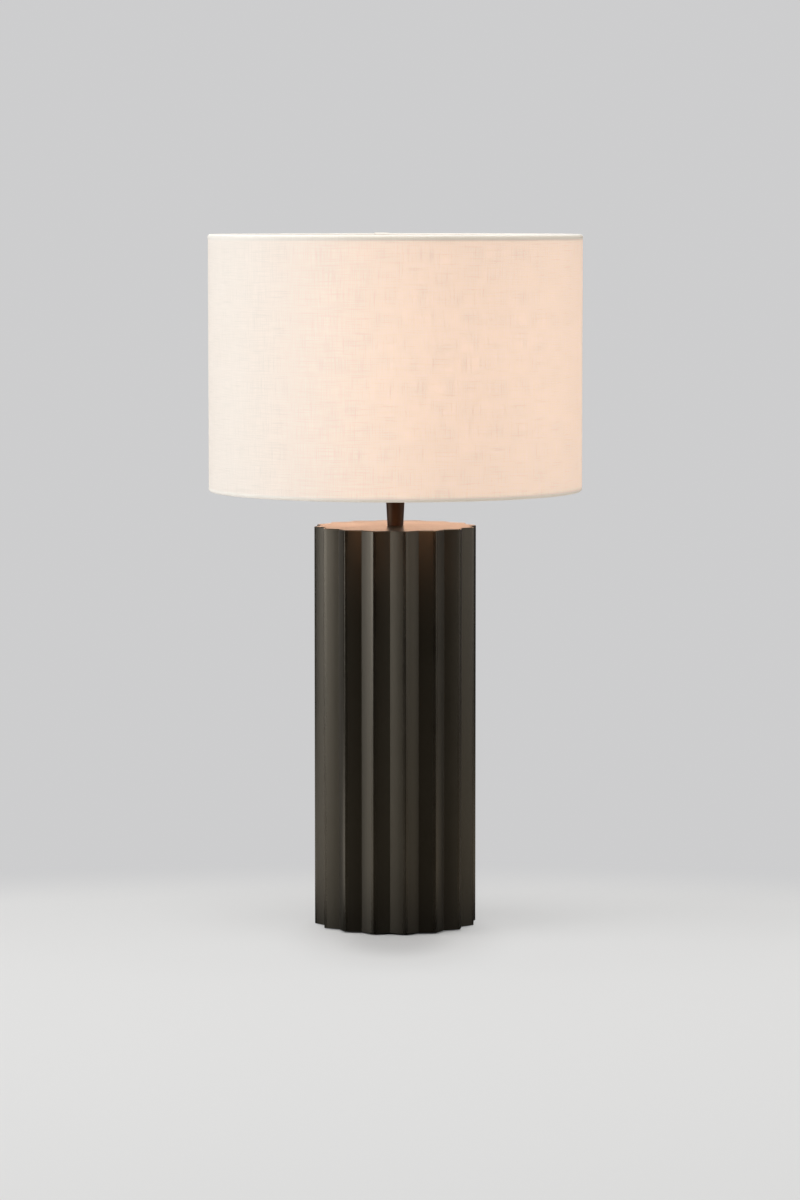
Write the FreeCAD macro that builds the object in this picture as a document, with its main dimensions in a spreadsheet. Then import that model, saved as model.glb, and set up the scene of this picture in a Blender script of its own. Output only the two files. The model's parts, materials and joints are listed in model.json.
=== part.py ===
import FreeCAD, Part

import math
import os

import Sketcher
from FreeCAD import Placement, Rotation, Vector

# Column table lamp with a drum shade. Millimetres, +Z up. The origin is on the
# table under the middle of the lamp, and the cord gland is at the back, on +Y.

DIMENSIONS = {
    # foot
    "pad_diameter": 127,
    "pad_thickness": 2,
    "plate_diameter": 129,
    "plate_thickness": 2,
    "weight_diameter": 124,
    "weight_thickness": 16,
    "weight_recess": 44,
    "weight_recess_depth": 8,
    "weight_rounding": 1.5,
    "channel_width": 10,
    "screw_circle": 90,
    "screw_count": 3,
    "screw_shank": 4,
    "screw_head": 7.4,
    "screw_length": 12,
    "hole_play": 0.2,
    # fluted column
    "column_foot": 1,
    "column_top": 377,
    "ridge_radius": 76.6,
    "valley_radius": 69.3,
    "flute_count": 16,
    "facet_radius": 75,
    "ridge_rounding": 1.8,
    "valley_rounding": 1,
    "column_edge_rounding": 1,
    "column_foot_rounding": 0.6,
    "column_bore": 130,
    "lid_thickness": 5,
    "ledge_width": 7,
    "ledge_thickness": 4,
    # cord gland
    "gland_height": 14,
    "gland_bore": 7,
    "gland_barrel": 10.4,
    "gland_flange": 15,
    "gland_flange_thickness": 2,
    "gland_recess": 15.6,
    "gland_seat": 68.9,
    "gland_lip": 12,
    "gland_lip_length": 1.6,
    "gland_play": 0.35,
    # threaded tube and what it clamps
    "tube_diameter": 10,
    "tube_bore": 8,
    "tube_bottom": 5,
    "tube_reach": 11,
    "tube_hole": 10.4,
    "washer_diameter": 30,
    "washer_thickness": 2,
    "nut_flats": 14,
    "nut_thickness": 4,
    "nut_bore": 10.1,
    # neck
    "neck_height": 40,
    "neck_bottom": 15,
    "neck_taper": 0.1025,
    "neck_rounding": 0.5,
    # lampholder
    "holder_cap_height": 20.5,
    "holder_cap_bottom": 19.6,
    "holder_cap_waist": 5,
    "holder_cap_floor": 3,
    "holder_bell_height": 14.5,
    "holder_bell_flare": 24,
    "holder_bell_rounding": 4,
    "holder_bell_step": 1.5,
    "holder_rim_height": 3.5,
    "holder_diameter": 39.2,
    "holder_wall": 1.6,
    "holder_thread": 39.5,
    "holder_bore": 31.2,
    "holder_height": 57,
    "holder_rounding": 1.5,
    "spigot_length": 5,
    "shoulder_height": 24.5,
    "shoulder_diameter": 47,
    "shoulder_thickness": 2.5,
    "insert_diameter": 30.6,
    "insert_height": 12,
    "insert_bottom": 16,
    "insert_recess": 22,
    "insert_recess_depth": 2,
    "shell_diameter": 28.2,
    "shell_wall": 0.6,
    "shell_length": 25,
    "shell_lip": 2.5,
    "contact_width": 6,
    "contact_strip": 0.5,
    "contact_rise": 5,
    "contact_tail": 9,
    "contact_bend": 4,
    "contact_knee": 1,
    "contact_end": 4,
    "contact_slant": 0.2,
    "grub_diameter": 3,
    "grub_length": 4.5,
    "grub_height": 2.8,
    "terminal_spacing": 18,
    "terminal_shank": 3.2,
    "terminal_head": 6,
    "terminal_head_thickness": 2.4,
    "terminal_length": 5,
    "terminal_hole_depth": 5.5,
    # shade
    "shade_diameter": 350,
    "shade_height": 240,
    "shade_bottom": 410,
    "cloth_thickness": 0.6,
    "liner_thickness": 0.5,
    "edge_wire": 4,
    "hem_return": 1.7,
    "hem_play": 0.1,
    "arm_wire": 3.6,
    "arm_count": 3,
    "arm_start": 25,
    "arm_inner_straight": 8,
    "arm_outer_straight": 12,
    "arm_bend": 22,
    "fitter_hole": 42,
    "fitter_diameter": 60,
    "fitter_thickness": 1.5,
    "fitter_gap": 0.2,
    # ring nut over the fitter ring
    "ring_bore": 40,
    "ring_flange": 56,
    "ring_flange_thickness": 2.5,
    "ring_hub": 48,
    "ring_height": 8,
    "ring_grips": 12,
    "ring_grip_diameter": 5,
    "ring_grip_depth": 0.8,
    "ring_chamfer": 0.8,
    # bulb
    "bulb_bottom": 449.2,
    "tip_diameter": 9,
    "tip_height": 1.5,
    "tip_edge": 0.4,
    "insulator_height": 3,
    "insulator_diameter": 20.6,
    "insulator_land": 1,
    "insulator_edge": 0.5,
    "bulb_cap_diameter": 26,
    "bulb_cap_wall": 0.4,
    "bulb_cap_height": 21.5,
    "bulb_cap_bevel": 2.4,
    "collar_height": 27,
    "collar_bottom": 27,
    "collar_wall": 1.5,
    "collar_spigot": 8,
    "collar_foot": 3,
    "collar_flare": 60,
    "collar_seat": 4,
    "collar_seat_step": 0.6,
    "globe_diameter": 37,
    "globe_wall": 1.2,
    "globe_height": 51,
    "globe_draft": 0.3,
    "globe_belly": 11,
    "globe_side": 52,
    "globe_tip": 8,
    "globe_tip_rise": 2.5,
    "light_board": 30,
    "light_board_thickness": 1.6,
    "light_board_drop": 3.6,
    "driver_width": 18,
    "driver_length": 30,
    "driver_thickness": 1.4,
    "driver_drop": 4,
}

document = FreeCAD.newDocument("table_lamp")
sheet = document.addObject("Spreadsheet::Sheet", "sizes")
for row, (alias, value) in enumerate(DIMENSIONS.items(), start=1):
    sheet.set(f"A{row}", alias)
    sheet.set(f"B{row}", str(value))
    sheet.setAlias(f"B{row}", alias)
document.recompute()


class Size:
    """A number that keeps the sheet expression that it comes from."""

    def __init__(self, value, text):
        self.value = value
        self.text = text

    @staticmethod
    def of(other):
        return other if isinstance(other, Size) else Size(float(other), str(other))

    def __add__(self, other):
        other = Size.of(other)
        return Size(self.value + other.value, f"({self.text} + {other.text})")

    def __radd__(self, other):
        return Size.of(other) + self

    def __sub__(self, other):
        other = Size.of(other)
        return Size(self.value - other.value, f"({self.text} - {other.text})")

    def __rsub__(self, other):
        return Size.of(other) - self

    def __mul__(self, other):
        other = Size.of(other)
        return Size(self.value * other.value, f"({self.text} * {other.text})")

    def __rmul__(self, other):
        return Size.of(other) * self

    def __truediv__(self, other):
        other = Size.of(other)
        return Size(self.value / other.value, f"({self.text} / {other.text})")

    def __rtruediv__(self, other):
        return Size.of(other) / self

    def __neg__(self):
        return Size(-self.value, f"(-{self.text})")


class Sheet:
    """The driving dimensions, read by name as sizes."""

    def __getattr__(self, alias):
        return Size(float(DIMENSIONS[alias]), f"sizes.{alias}")


d = Sheet()


def cosine(angle):
    """Cosine of an angle in degrees."""
    angle = Size.of(angle)
    return Size(math.cos(math.radians(angle.value)), f"cos({angle.text})")


def sine(angle):
    """Sine of an angle in degrees."""
    angle = Size.of(angle)
    return Size(math.sin(math.radians(angle.value)), f"sin({angle.text})")


def tangent(angle):
    """Tangent of an angle in degrees."""
    return sine(angle) / cosine(angle)


def cap_radius(reach, rise):
    """Radius of an arc that crosses the axis squarely, from its reach and its rise."""
    return (reach * reach + rise * rise) / (2 * rise)


# Heights that several pieces share, worked out from the driving dimensions.
PLATE_BOTTOM = d.pad_thickness
WEIGHT_BOTTOM = PLATE_BOTTOM + d.plate_thickness
WEIGHT_TOP = WEIGHT_BOTTOM + d.weight_thickness
RECESS_ROOF = WEIGHT_BOTTOM + d.weight_recess_depth
LID_BOTTOM = d.column_top - d.lid_thickness
NECK_TOP = d.column_top + d.neck_height
NECK_TOP_DIAMETER = d.neck_bottom + d.neck_height * d.neck_taper
SPIGOT_BOTTOM = NECK_TOP + d.holder_cap_height - d.spigot_length
SHOULDER_TOP = NECK_TOP + d.shoulder_height + d.shoulder_thickness
FITTER_BOTTOM = SHOULDER_TOP + d.fitter_gap
INSERT_BOTTOM = NECK_TOP + d.insert_bottom
INSERT_TOP = INSERT_BOTTOM + d.insert_height
SHADE_TOP = d.shade_bottom + d.shade_height
HEM_RADIUS = d.edge_wire / 2 + d.hem_play + d.cloth_thickness
BULB_CAP_BOTTOM = d.bulb_bottom + d.tip_height + d.insulator_height
COLLAR_BOTTOM = BULB_CAP_BOTTOM + d.bulb_cap_height
GLOBE_BOTTOM = COLLAR_BOTTOM + d.collar_height

# Cutting sketches start or end this far outside the material.
OVERSHOOT = 1

ORIGIN_POINT = (-1, 1)
X_AXIS = -1
Y_AXIS = -2


def bind(feature, name, size):
    """Binds a property of a feature to the sheet."""
    size = Size.of(size)
    setattr(feature, name, size.value)
    feature.setExpression(name, size.text)


def constrain(sketch, kind, arguments, size):
    """Adds a dimension to a sketch and binds it to the sheet."""
    size = Size.of(size)
    index = sketch.addConstraint(Sketcher.Constraint(kind, *arguments, size.value))
    name = f"{kind.lower()}_{index}"
    sketch.renameConstraint(index, name)
    sketch.setExpression(f"Constraints.{name}", size.text)


def place_point(sketch, curve, end, x, y):
    """Holds a point of a sketch at x, y from the sketch's origin."""
    for kind, size, axis in (("DistanceX", x, Y_AXIS), ("DistanceY", y, X_AXIS)):
        size = Size.of(size)
        if abs(size.value) < 1e-9:
            sketch.addConstraint(Sketcher.Constraint("PointOnObject", curve, end, axis))
        else:
            constrain(sketch, kind, (*ORIGIN_POINT, curve, end), size)


def new_body(label, height=0):
    """A body whose own origin stands at a height on the lamp's axis."""
    body = document.addObject("PartDesign::Body", label)
    body.Label = label
    body.setExpression(".Placement.Base.z", Size.of(height).text)
    return body


def new_sketch(body, name, plane="XZ_Plane", offset=0, turn=0):
    """A sketch on one of the body's origin planes, moved along its normal and turned on it."""
    sketch = body.newObject("Sketcher::SketchObject", name)
    support = next(item for item in body.Origin.OriginFeatures if item.Role == plane)
    sketch.AttachmentSupport = [(support, "")]
    sketch.MapMode = "FlatFace"
    sketch.AttachmentOffset = Placement(
        Vector(0, 0, Size.of(offset).value), Rotation(Vector(0, 0, 1), Size.of(turn).value)
    )
    sketch.setExpression(".AttachmentOffset.Base.z", Size.of(offset).text)
    sketch.setExpression(".AttachmentOffset.Rotation.Angle", Size.of(turn).text)
    return sketch


def arc_between(start, end, radius):
    """Short arc from start to end; a positive radius bulges to the right of the way there."""
    middle = (start + end) / 2
    along = end - start
    left = Vector(-along.y, along.x, 0).normalize()
    rise = math.sqrt(radius * radius - along.Length * along.Length / 4)
    centre = middle + left * math.copysign(rise, radius)
    ends = (start, end) if radius > 0 else (end, start)
    first, last = (math.atan2(point.y - centre.y, point.x - centre.x) for point in ends)
    return Part.ArcOfCircle(Part.Circle(centre, Vector(0, 0, 1), abs(radius)), first, last)


def draw_outline(sketch, corners):
    """Closed outline through corners (x, y), or (x, y, radius) where the next side is an arc."""
    points = [Vector(Size.of(corner[0]).value, Size.of(corner[1]).value, 0) for corner in corners]
    sides = []
    for index, corner in enumerate(corners):
        start = points[index]
        end = points[(index + 1) % len(points)]
        radius = Size.of(corner[2]) if len(corner) > 2 else None
        if radius is None:
            curve = sketch.addGeometry(Part.LineSegment(start, end), False)
            sides.append((curve, 1, 2))
            continue
        curve = sketch.addGeometry(arc_between(start, end, radius.value), False)
        sides.append((curve, 1, 2) if radius.value > 0 else (curve, 2, 1))
    for index, (curve, first, _) in enumerate(sides):
        before, _, last = sides[index - 1]
        sketch.addConstraint(Sketcher.Constraint("Coincident", before, last, curve, first))
    for (curve, first, _), corner in zip(sides, corners):
        place_point(sketch, curve, first, corner[0], corner[1])
        if len(corner) > 2:
            radius = Size.of(corner[2])
            constrain(sketch, "Radius", (curve,), radius if radius.value > 0 else -radius)


def draw_circle(sketch, diameter, x=0, y=0):
    """Circle of a diameter about x, y."""
    centre = Vector(Size.of(x).value, Size.of(y).value, 0)
    radius = Size.of(diameter).value / 2
    curve = sketch.addGeometry(Part.Circle(centre, Vector(0, 0, 1), radius), False)
    place_point(sketch, curve, 3, x, y)
    constrain(sketch, "Diameter", (curve,), diameter)


def draw_axis(sketch, x):
    """Upright construction line at x, for turning a profile about it."""
    line = Part.LineSegment(Vector(Size.of(x).value, 0, 0), Vector(Size.of(x).value, 1, 0))
    curve = sketch.addGeometry(line, True)
    place_point(sketch, curve, 1, x, 0)
    place_point(sketch, curve, 2, x, 1)


def draw_hexagon(sketch, flats):
    """Hexagon about the origin, given by the distance across its flats."""
    corner_radius = flats / 2 / cosine(30)
    corners = []
    for index in range(6):
        corners.append((corner_radius * cosine(60 * index), corner_radius * sine(60 * index)))
    draw_outline(sketch, corners)


def draw_box(sketch, left, low, right, high):
    """Rectangle between two opposite corners."""
    draw_outline(sketch, [(left, low), (right, low), (right, high), (left, high)])


def turn(body, sketch, kind="Revolution", axis="V_Axis"):
    """Full revolution or groove of a sketch about an upright axis of the sketch."""
    feature = body.newObject(f"PartDesign::{kind}", f"{body.Label}_{kind.lower()}")
    feature.Profile = sketch
    feature.ReferenceAxis = (sketch, [axis])
    feature.Angle = 360
    document.recompute()
    return feature


def pad(body, sketch, length, midplane=False):
    """Pad of a sketch by a length."""
    feature = body.newObject("PartDesign::Pad", f"{body.Label}_pad")
    feature.Profile = sketch
    feature.Midplane = midplane
    bind(feature, "Length", length)
    document.recompute()
    return feature


def pocket(body, sketch, length):
    """Pocket of a sketch by a length along its normal; it has to take material away."""
    before = body.Shape.Volume
    feature = body.newObject("PartDesign::Pocket", f"{body.Label}_pocket")
    feature.Profile = sketch
    feature.Reversed = True
    bind(feature, "Length", length)
    document.recompute()
    if body.Shape.Volume >= before - 1e-3:
        raise RuntimeError(f"{feature.Label} cuts nothing")
    return feature


def repeat_round(body, features, count):
    """Pattern of features round the body's own upright axis."""
    pattern = body.newObject("PartDesign::PolarPattern", f"{body.Label}_pattern")
    pattern.Originals = features
    axis = next(item for item in body.Origin.OriginFeatures if item.Role == "Z_Axis")
    pattern.Axis = (axis, [""])
    pattern.Angle = 360
    pattern.Occurrences = int(count.value)
    pattern.setExpression("Occurrences", count.text)
    body.Tip = pattern
    document.recompute()
    return pattern


def edges_where(feature, test):
    """Names of the edges of a feature whose middle point and direction pass a test."""
    names = []
    for index, edge in enumerate(feature.Shape.Edges, start=1):
        middle = edge.valueAt((edge.FirstParameter + edge.LastParameter) / 2)
        if test(middle, edge):
            names.append(f"Edge{index}")
    return names


def dress(body, kind, names, size):
    """Fillet or Chamfer of named edges of the body's last feature."""
    base = body.Tip
    feature = body.newObject(f"PartDesign::{kind}", f"{body.Label}_{kind.lower()}")
    feature.Base = (base, names)
    bind(feature, "Radius" if kind == "Fillet" else "Size", size)
    body.Tip = feature
    document.recompute()
    return feature


def is_upright(edge):
    """True for a straight edge that runs along Z."""
    return isinstance(edge.Curve, Part.Line) and abs(edge.Curve.Direction.z) > 0.999


def from_axis(point):
    """Distance of a point from the Z axis."""
    return math.hypot(point.x, point.y)


def turned_part(label, height, corners):
    """Piece turned about the lamp's axis, with its outline drawn from its own lower end."""
    body = new_body(label, height)
    sketch = new_sketch(body, f"{label}_profile")
    draw_outline(sketch, corners)
    turn(body, sketch)
    return body


def ring_corners(inner, outer, height):
    """Outline of a plain ring, given by its diameters."""
    return [(inner / 2, 0), (outer / 2, 0), (outer / 2, height), (inner / 2, height)]


def disc_corners(diameter, height):
    """Outline of a plain disc."""
    return [(0, 0), (diameter / 2, 0), (diameter / 2, height), (0, height)]


# ---- foot ----

def make_foot_pad():
    """Soft disc that the lamp stands on."""
    turned_part("foot_pad", 0, disc_corners(d.pad_diameter, d.pad_thickness))


def make_base_plate():
    """Steel disc that closes the column, with countersunk holes for its screws."""
    body = turned_part("base_plate", PLATE_BOTTOM, disc_corners(d.plate_diameter, d.plate_thickness))
    sketch = new_sketch(body, "plate_hole", "XY_Plane", 0, 30)
    draw_circle(sketch, d.screw_shank + d.hole_play, d.screw_circle / 2, 0)
    hole_cut = pocket(body, sketch, d.plate_thickness)
    pattern = repeat_round(body, [hole_cut], d.screw_count)
    rims = edges_where(pattern, lambda point, edge: (
        abs(point.z) < 1e-6 and from_axis(point) < d.plate_diameter.value / 2 - OVERSHOOT))
    dress(body, "Chamfer", rims, (d.screw_head - d.screw_shank) / 2)


def make_base_screws():
    """Countersunk screws that hold the plate to the weight."""
    body = new_body("base_screws", PLATE_BOTTOM)
    sketch = new_sketch(body, "screw_profile")
    middle = d.screw_circle / 2
    cone = (d.screw_head - d.screw_shank) / 2
    sunk = d.hole_play / 2
    draw_outline(sketch, [
        (middle, sunk), (middle + d.screw_head / 2 - sunk, sunk), (middle + d.screw_shank / 2, cone),
        (middle + d.screw_shank / 2, d.screw_length), (middle, d.screw_length),
    ])
    draw_axis(sketch, middle)
    screw = turn(body, sketch, axis="Axis0")
    repeat_round(body, [screw], d.screw_count)
    body.Placement.Rotation = Rotation(Vector(0, 0, 1), 30)


def make_base_weight():
    """Cast iron disc, with a recess for the nut and a channel for the cord."""
    hole = d.tube_hole / 2
    body = turned_part("base_weight", WEIGHT_BOTTOM, [
        (d.weight_recess / 2, 0), (d.weight_diameter / 2, 0),
        (d.weight_diameter / 2, d.weight_thickness), (hole, d.weight_thickness),
        (hole, d.weight_recess_depth), (d.weight_recess / 2, d.weight_recess_depth),
    ])
    channel = new_sketch(body, "cord_channel", "XY_Plane")
    half = d.channel_width / 2
    draw_box(channel, -half, d.weight_recess / 4, half, d.weight_diameter / 2 + OVERSHOOT)
    pocket(body, channel, d.weight_thickness + OVERSHOOT)
    tapping = new_sketch(body, "tapped_hole", "XY_Plane", 0, 30)
    draw_circle(tapping, d.screw_shank + d.hole_play, d.screw_circle / 2, 0)
    tapped = pocket(body, tapping, d.screw_length)
    pattern = repeat_round(body, [tapped], d.screw_count)
    rim = edges_where(pattern, lambda point, edge: (
        abs(point.z - d.weight_thickness.value) < 1e-6
        and from_axis(point) > d.weight_diameter.value / 2 - 1e-3))
    dress(body, "Fillet", rim, d.weight_rounding)


# ---- fluted column ----

def make_column():
    """Fluted shell: ribs with slightly crowned flanks round a core, bored from below."""
    body = new_body("column", d.column_foot)
    height = d.column_top - d.column_foot
    root = d.column_bore / 2
    core = new_sketch(body, "column_core", "XY_Plane")
    draw_circle(core, root + d.valley_radius)
    pad(body, core, height)

    half_pitch = 180 / d.flute_count
    rib = new_sketch(body, "column_rib", "XY_Plane", 0, half_pitch)
    draw_outline(rib, [
        (root, -root * tangent(half_pitch)),
        (d.valley_radius * cosine(half_pitch), -d.valley_radius * sine(half_pitch), d.facet_radius),
        (d.ridge_radius, 0, d.facet_radius),
        (d.valley_radius * cosine(half_pitch), d.valley_radius * sine(half_pitch)),
        (root, root * tangent(half_pitch)),
    ])
    rib_pad = pad(body, rib, height)
    ribs = repeat_round(body, [rib_pad], d.flute_count)

    middle = (d.ridge_radius.value + d.valley_radius.value) / 2
    ridges = edges_where(ribs, lambda point, edge: is_upright(edge) and from_axis(point) > middle)
    rounded = dress(body, "Fillet", ridges, d.ridge_rounding)
    valleys = edges_where(rounded, lambda point, edge: (
        is_upright(edge) and abs(from_axis(point) - d.valley_radius.value) < 0.01))
    hollowed = dress(body, "Fillet", valleys, d.valley_rounding)
    top = edges_where(hollowed, lambda point, edge: abs(point.z - height.value) < 1e-6)
    softened = dress(body, "Fillet", top, d.column_edge_rounding)
    bottom = edges_where(softened, lambda point, edge: abs(point.z) < 1e-6)
    dress(body, "Fillet", bottom, d.column_foot_rounding)

    bore = new_sketch(body, "column_bore")
    ledge_low = WEIGHT_TOP - d.column_foot
    ledge_high = ledge_low + d.ledge_thickness
    narrow = root - d.ledge_width
    lid = LID_BOTTOM - d.column_foot
    draw_outline(bore, [
        (0, 0), (root, 0), (root, ledge_low), (narrow, ledge_low), (narrow, ledge_high),
        (root, ledge_high), (root, lid), (d.tube_hole / 2, lid), (d.tube_hole / 2, height),
        (0, height),
    ])
    turn(body, bore, "Groove")

    gland_height = d.gland_height - d.column_foot
    outside = d.ridge_radius + OVERSHOOT
    seat = new_sketch(body, "gland_recess", "XZ_Plane", -outside)
    draw_circle(seat, d.gland_recess, 0, gland_height)
    pocket(body, seat, outside - d.gland_seat)
    hole = new_sketch(body, "gland_hole", "XZ_Plane", -outside)
    draw_circle(hole, d.gland_barrel + d.hole_play, 0, gland_height)
    pocket(body, hole, outside - root + OVERSHOOT)


def make_cord_gland():
    """Snap-in bush in the back of the column, turned about its own axis and laid on its side."""
    wall = d.gland_seat - d.column_bore / 2
    tail = wall + d.gland_play + d.gland_lip_length
    bore = d.gland_bore / 2
    flange = d.gland_flange / 2
    barrel = d.gland_barrel / 2
    thick = d.gland_flange_thickness
    body = turned_part("cord_gland", 0, [
        (bore, 0), (barrel, 0), (d.gland_lip / 2, d.gland_lip_length), (barrel, d.gland_lip_length),
        (barrel, tail), (flange, tail), (flange, tail + thick / 2, thick / 2),
        (flange - thick / 2, tail + thick), (bore, tail + thick),
    ])
    body.Placement.Rotation = Rotation(Vector(1, 0, 0), -90)
    body.setExpression(".Placement.Base.y", (d.gland_seat - tail).text)
    body.setExpression(".Placement.Base.z", d.gland_height.text)


# ---- threaded tube and what it clamps ----

def make_tube():
    """Tube that ties the foot, the column, the neck and the lampholder together."""
    length = NECK_TOP + d.tube_reach - d.tube_bottom
    turned_part("threaded_tube", d.tube_bottom, ring_corners(d.tube_bore, d.tube_diameter, length))


def make_washer(label, height):
    """Flat washer on the tube."""
    turned_part(label, height, ring_corners(d.tube_hole, d.washer_diameter, d.washer_thickness))


def make_nut(label, height):
    """Hexagon nut on the tube."""
    body = new_body(label, height)
    sketch = new_sketch(body, f"{label}_hexagon", "XY_Plane")
    draw_hexagon(sketch, d.nut_flats)
    pad(body, sketch, d.nut_thickness)
    hole = new_sketch(body, f"{label}_hole", "XY_Plane")
    draw_circle(hole, d.nut_bore)
    pocket(body, hole, d.nut_thickness)


def make_neck():
    """Tapered sleeve between the column and the lampholder."""
    low = d.neck_bottom / 2
    high = NECK_TOP_DIAMETER / 2
    edge = d.neck_rounding
    turned_part("neck", d.column_top, [
        (d.nut_bore / 2, 0), (low - edge, 0, edge), (low, edge), (high, d.neck_height - edge, edge),
        (high - edge, d.neck_height), (d.nut_bore / 2, d.neck_height),
    ])


# ---- lampholder ----

def make_holder_cap():
    """Bell under the lampholder, with the entry for the tube."""
    outer = d.holder_diameter / 2
    inner = outer - d.holder_wall
    entry = d.holder_cap_bottom / 2
    height = d.holder_cap_height
    waist = d.holder_cap_waist
    floor = waist + d.holder_cap_floor
    body = turned_part("holder_cap", NECK_TOP, [
        (d.nut_bore / 2, 0), (entry, 0), (entry, waist, -d.holder_bell_flare),
        (outer - d.holder_bell_step, d.holder_bell_height, d.holder_bell_rounding),
        (outer, height - d.holder_rim_height), (outer, height), (inner, height),
        (inner, height - d.spigot_length - d.hole_play / 2), (entry + d.holder_wall / 2, floor),
        (d.nut_bore / 2, floor),
    ])
    hole = new_sketch(body, "grub_hole", "XZ_Plane", -outer)
    draw_circle(hole, d.grub_diameter + d.hole_play, 0, d.grub_height)
    pocket(body, hole, outer - d.nut_bore / 2)


def make_grub_screw():
    """Headless screw that keeps the lampholder from turning on the tube."""
    body = turned_part("holder_grub_screw", 0, disc_corners(d.grub_diameter, d.grub_length))
    body.Placement.Rotation = Rotation(Vector(1, 0, 0), -90)
    body.setExpression(".Placement.Base.y", (d.nut_bore / 2 + d.hole_play / 2).text)
    body.setExpression(".Placement.Base.z", (NECK_TOP + d.grub_height).text)


def make_holder_barrel():
    """Barrel with the shoulder that carries the shade and the thread for the ring nut."""
    outer = d.holder_diameter / 2
    spigot = outer - d.holder_wall - d.hole_play / 2
    thread = d.holder_thread / 2
    seam = d.spigot_length
    low = SHOULDER_TOP - d.shoulder_thickness - SPIGOT_BOTTOM
    high = SHOULDER_TOP - SPIGOT_BOTTOM
    top = NECK_TOP + d.holder_height - SPIGOT_BOTTOM
    soft = d.holder_rounding
    turned_part("holder_barrel", SPIGOT_BOTTOM, [
        (d.holder_bore / 2, 0), (spigot, 0), (spigot, seam), (outer, seam), (outer, low),
        (d.shoulder_diameter / 2, low), (d.shoulder_diameter / 2, high), (thread, high),
        (thread, top - soft, soft), (thread - soft, top), (d.holder_bore / 2, top),
    ])


def make_holder_insert():
    """Insulating block with the recess for the centre contact and the terminal holes."""
    outer = d.insert_diameter / 2
    recess = d.insert_recess / 2
    floor = d.insert_height - d.insert_recess_depth
    body = turned_part("holder_insert", INSERT_BOTTOM, [
        (0, 0), (outer, 0), (outer, d.insert_height), (recess, d.insert_height), (recess, floor),
        (0, floor),
    ])
    holes = new_sketch(body, "terminal_holes", "XY_Plane")
    for side in (-1, 1):
        draw_circle(holes, d.terminal_shank + d.hole_play, side * d.terminal_spacing / 2, 0)
    pocket(body, holes, d.terminal_hole_depth)


def make_screw_shell():
    """Thin shell that takes the thread of the bulb."""
    outer = d.shell_diameter / 2
    wall = d.shell_wall
    lip = outer - d.shell_lip
    turned_part("screw_shell", INSERT_TOP, [
        (lip, 0), (outer, 0), (outer, d.shell_length), (outer - wall, d.shell_length),
        (outer - wall, wall), (lip, wall),
    ])


def make_centre_contact():
    """Sprung strip that meets the tip of the bulb."""
    body = new_body("centre_contact", INSERT_TOP - d.insert_recess_depth)
    sketch = new_sketch(body, "contact_side")
    strip = d.contact_strip
    rise = d.contact_rise
    tail = -d.contact_tail
    bend = -d.contact_bend
    knee = d.contact_knee
    slant = d.contact_slant
    draw_outline(sketch, [
        (tail, 0), (bend, 0), (knee, rise - strip), (d.contact_end, rise - strip),
        (d.contact_end, rise), (knee - slant, rise), (bend - slant, strip), (tail, strip),
    ])
    pad(body, sketch, d.contact_width, midplane=True)
    body.Placement.Rotation = Rotation(Vector(0, 0, 1), 90)


def make_terminal_screws():
    """Two screws for the wires, in the underside of the insert."""
    body = new_body("terminal_screws", INSERT_BOTTOM - d.terminal_head_thickness)
    sketch = new_sketch(body, "terminal_profile")
    middle = d.terminal_spacing / 2
    head = d.terminal_head_thickness
    draw_outline(sketch, [
        (middle, 0), (middle + d.terminal_head / 2, 0), (middle + d.terminal_head / 2, head),
        (middle + d.terminal_shank / 2, head), (middle + d.terminal_shank / 2, head + d.terminal_length),
        (middle, head + d.terminal_length),
    ])
    draw_axis(sketch, middle)
    screw = turn(body, sketch, axis="Axis0")
    repeat_round(body, [screw], Size.of(2))


# ---- shade ----

def make_shade_fabric():
    """Drum of cloth whose two edges roll inwards round the edge wires."""
    outer = d.shade_diameter / 2
    inner = outer - d.cloth_thickness
    roll = HEM_RADIUS
    tight = roll - d.cloth_thickness
    axis = outer - roll
    low = roll
    high = d.shade_height - roll
    back = d.hem_return
    turned_part("shade_fabric", d.shade_bottom, [
        (outer, low), (outer, high, roll), (axis, high + roll, roll), (axis - roll, high),
        (axis - roll, high - back), (axis - tight, high - back), (axis - tight, high, -tight),
        (axis, high + tight, -tight), (inner, high), (inner, low, -tight), (axis, low - tight, -tight),
        (axis - tight, low), (axis - tight, low + back), (axis - roll, low + back),
        (axis - roll, low, roll), (axis, low - roll, roll),
    ])


def make_shade_liner():
    """Stiff translucent sheet behind the cloth, from one edge wire to the other."""
    outer = d.shade_diameter - 2 * d.cloth_thickness - 2 * d.hem_play
    inner = outer - 2 * d.liner_thickness
    end = 2 * HEM_RADIUS
    turned_part("shade_liner", d.shade_bottom + end,
                ring_corners(inner, outer, d.shade_height - 2 * end))


def make_edge_wire(label, height):
    """Round wire in the rolled edge of the shade."""
    body = new_body(label, height)
    sketch = new_sketch(body, f"{label}_section")
    draw_circle(sketch, d.edge_wire, d.shade_diameter / 2 - HEM_RADIUS, 0)
    turn(body, sketch)


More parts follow.
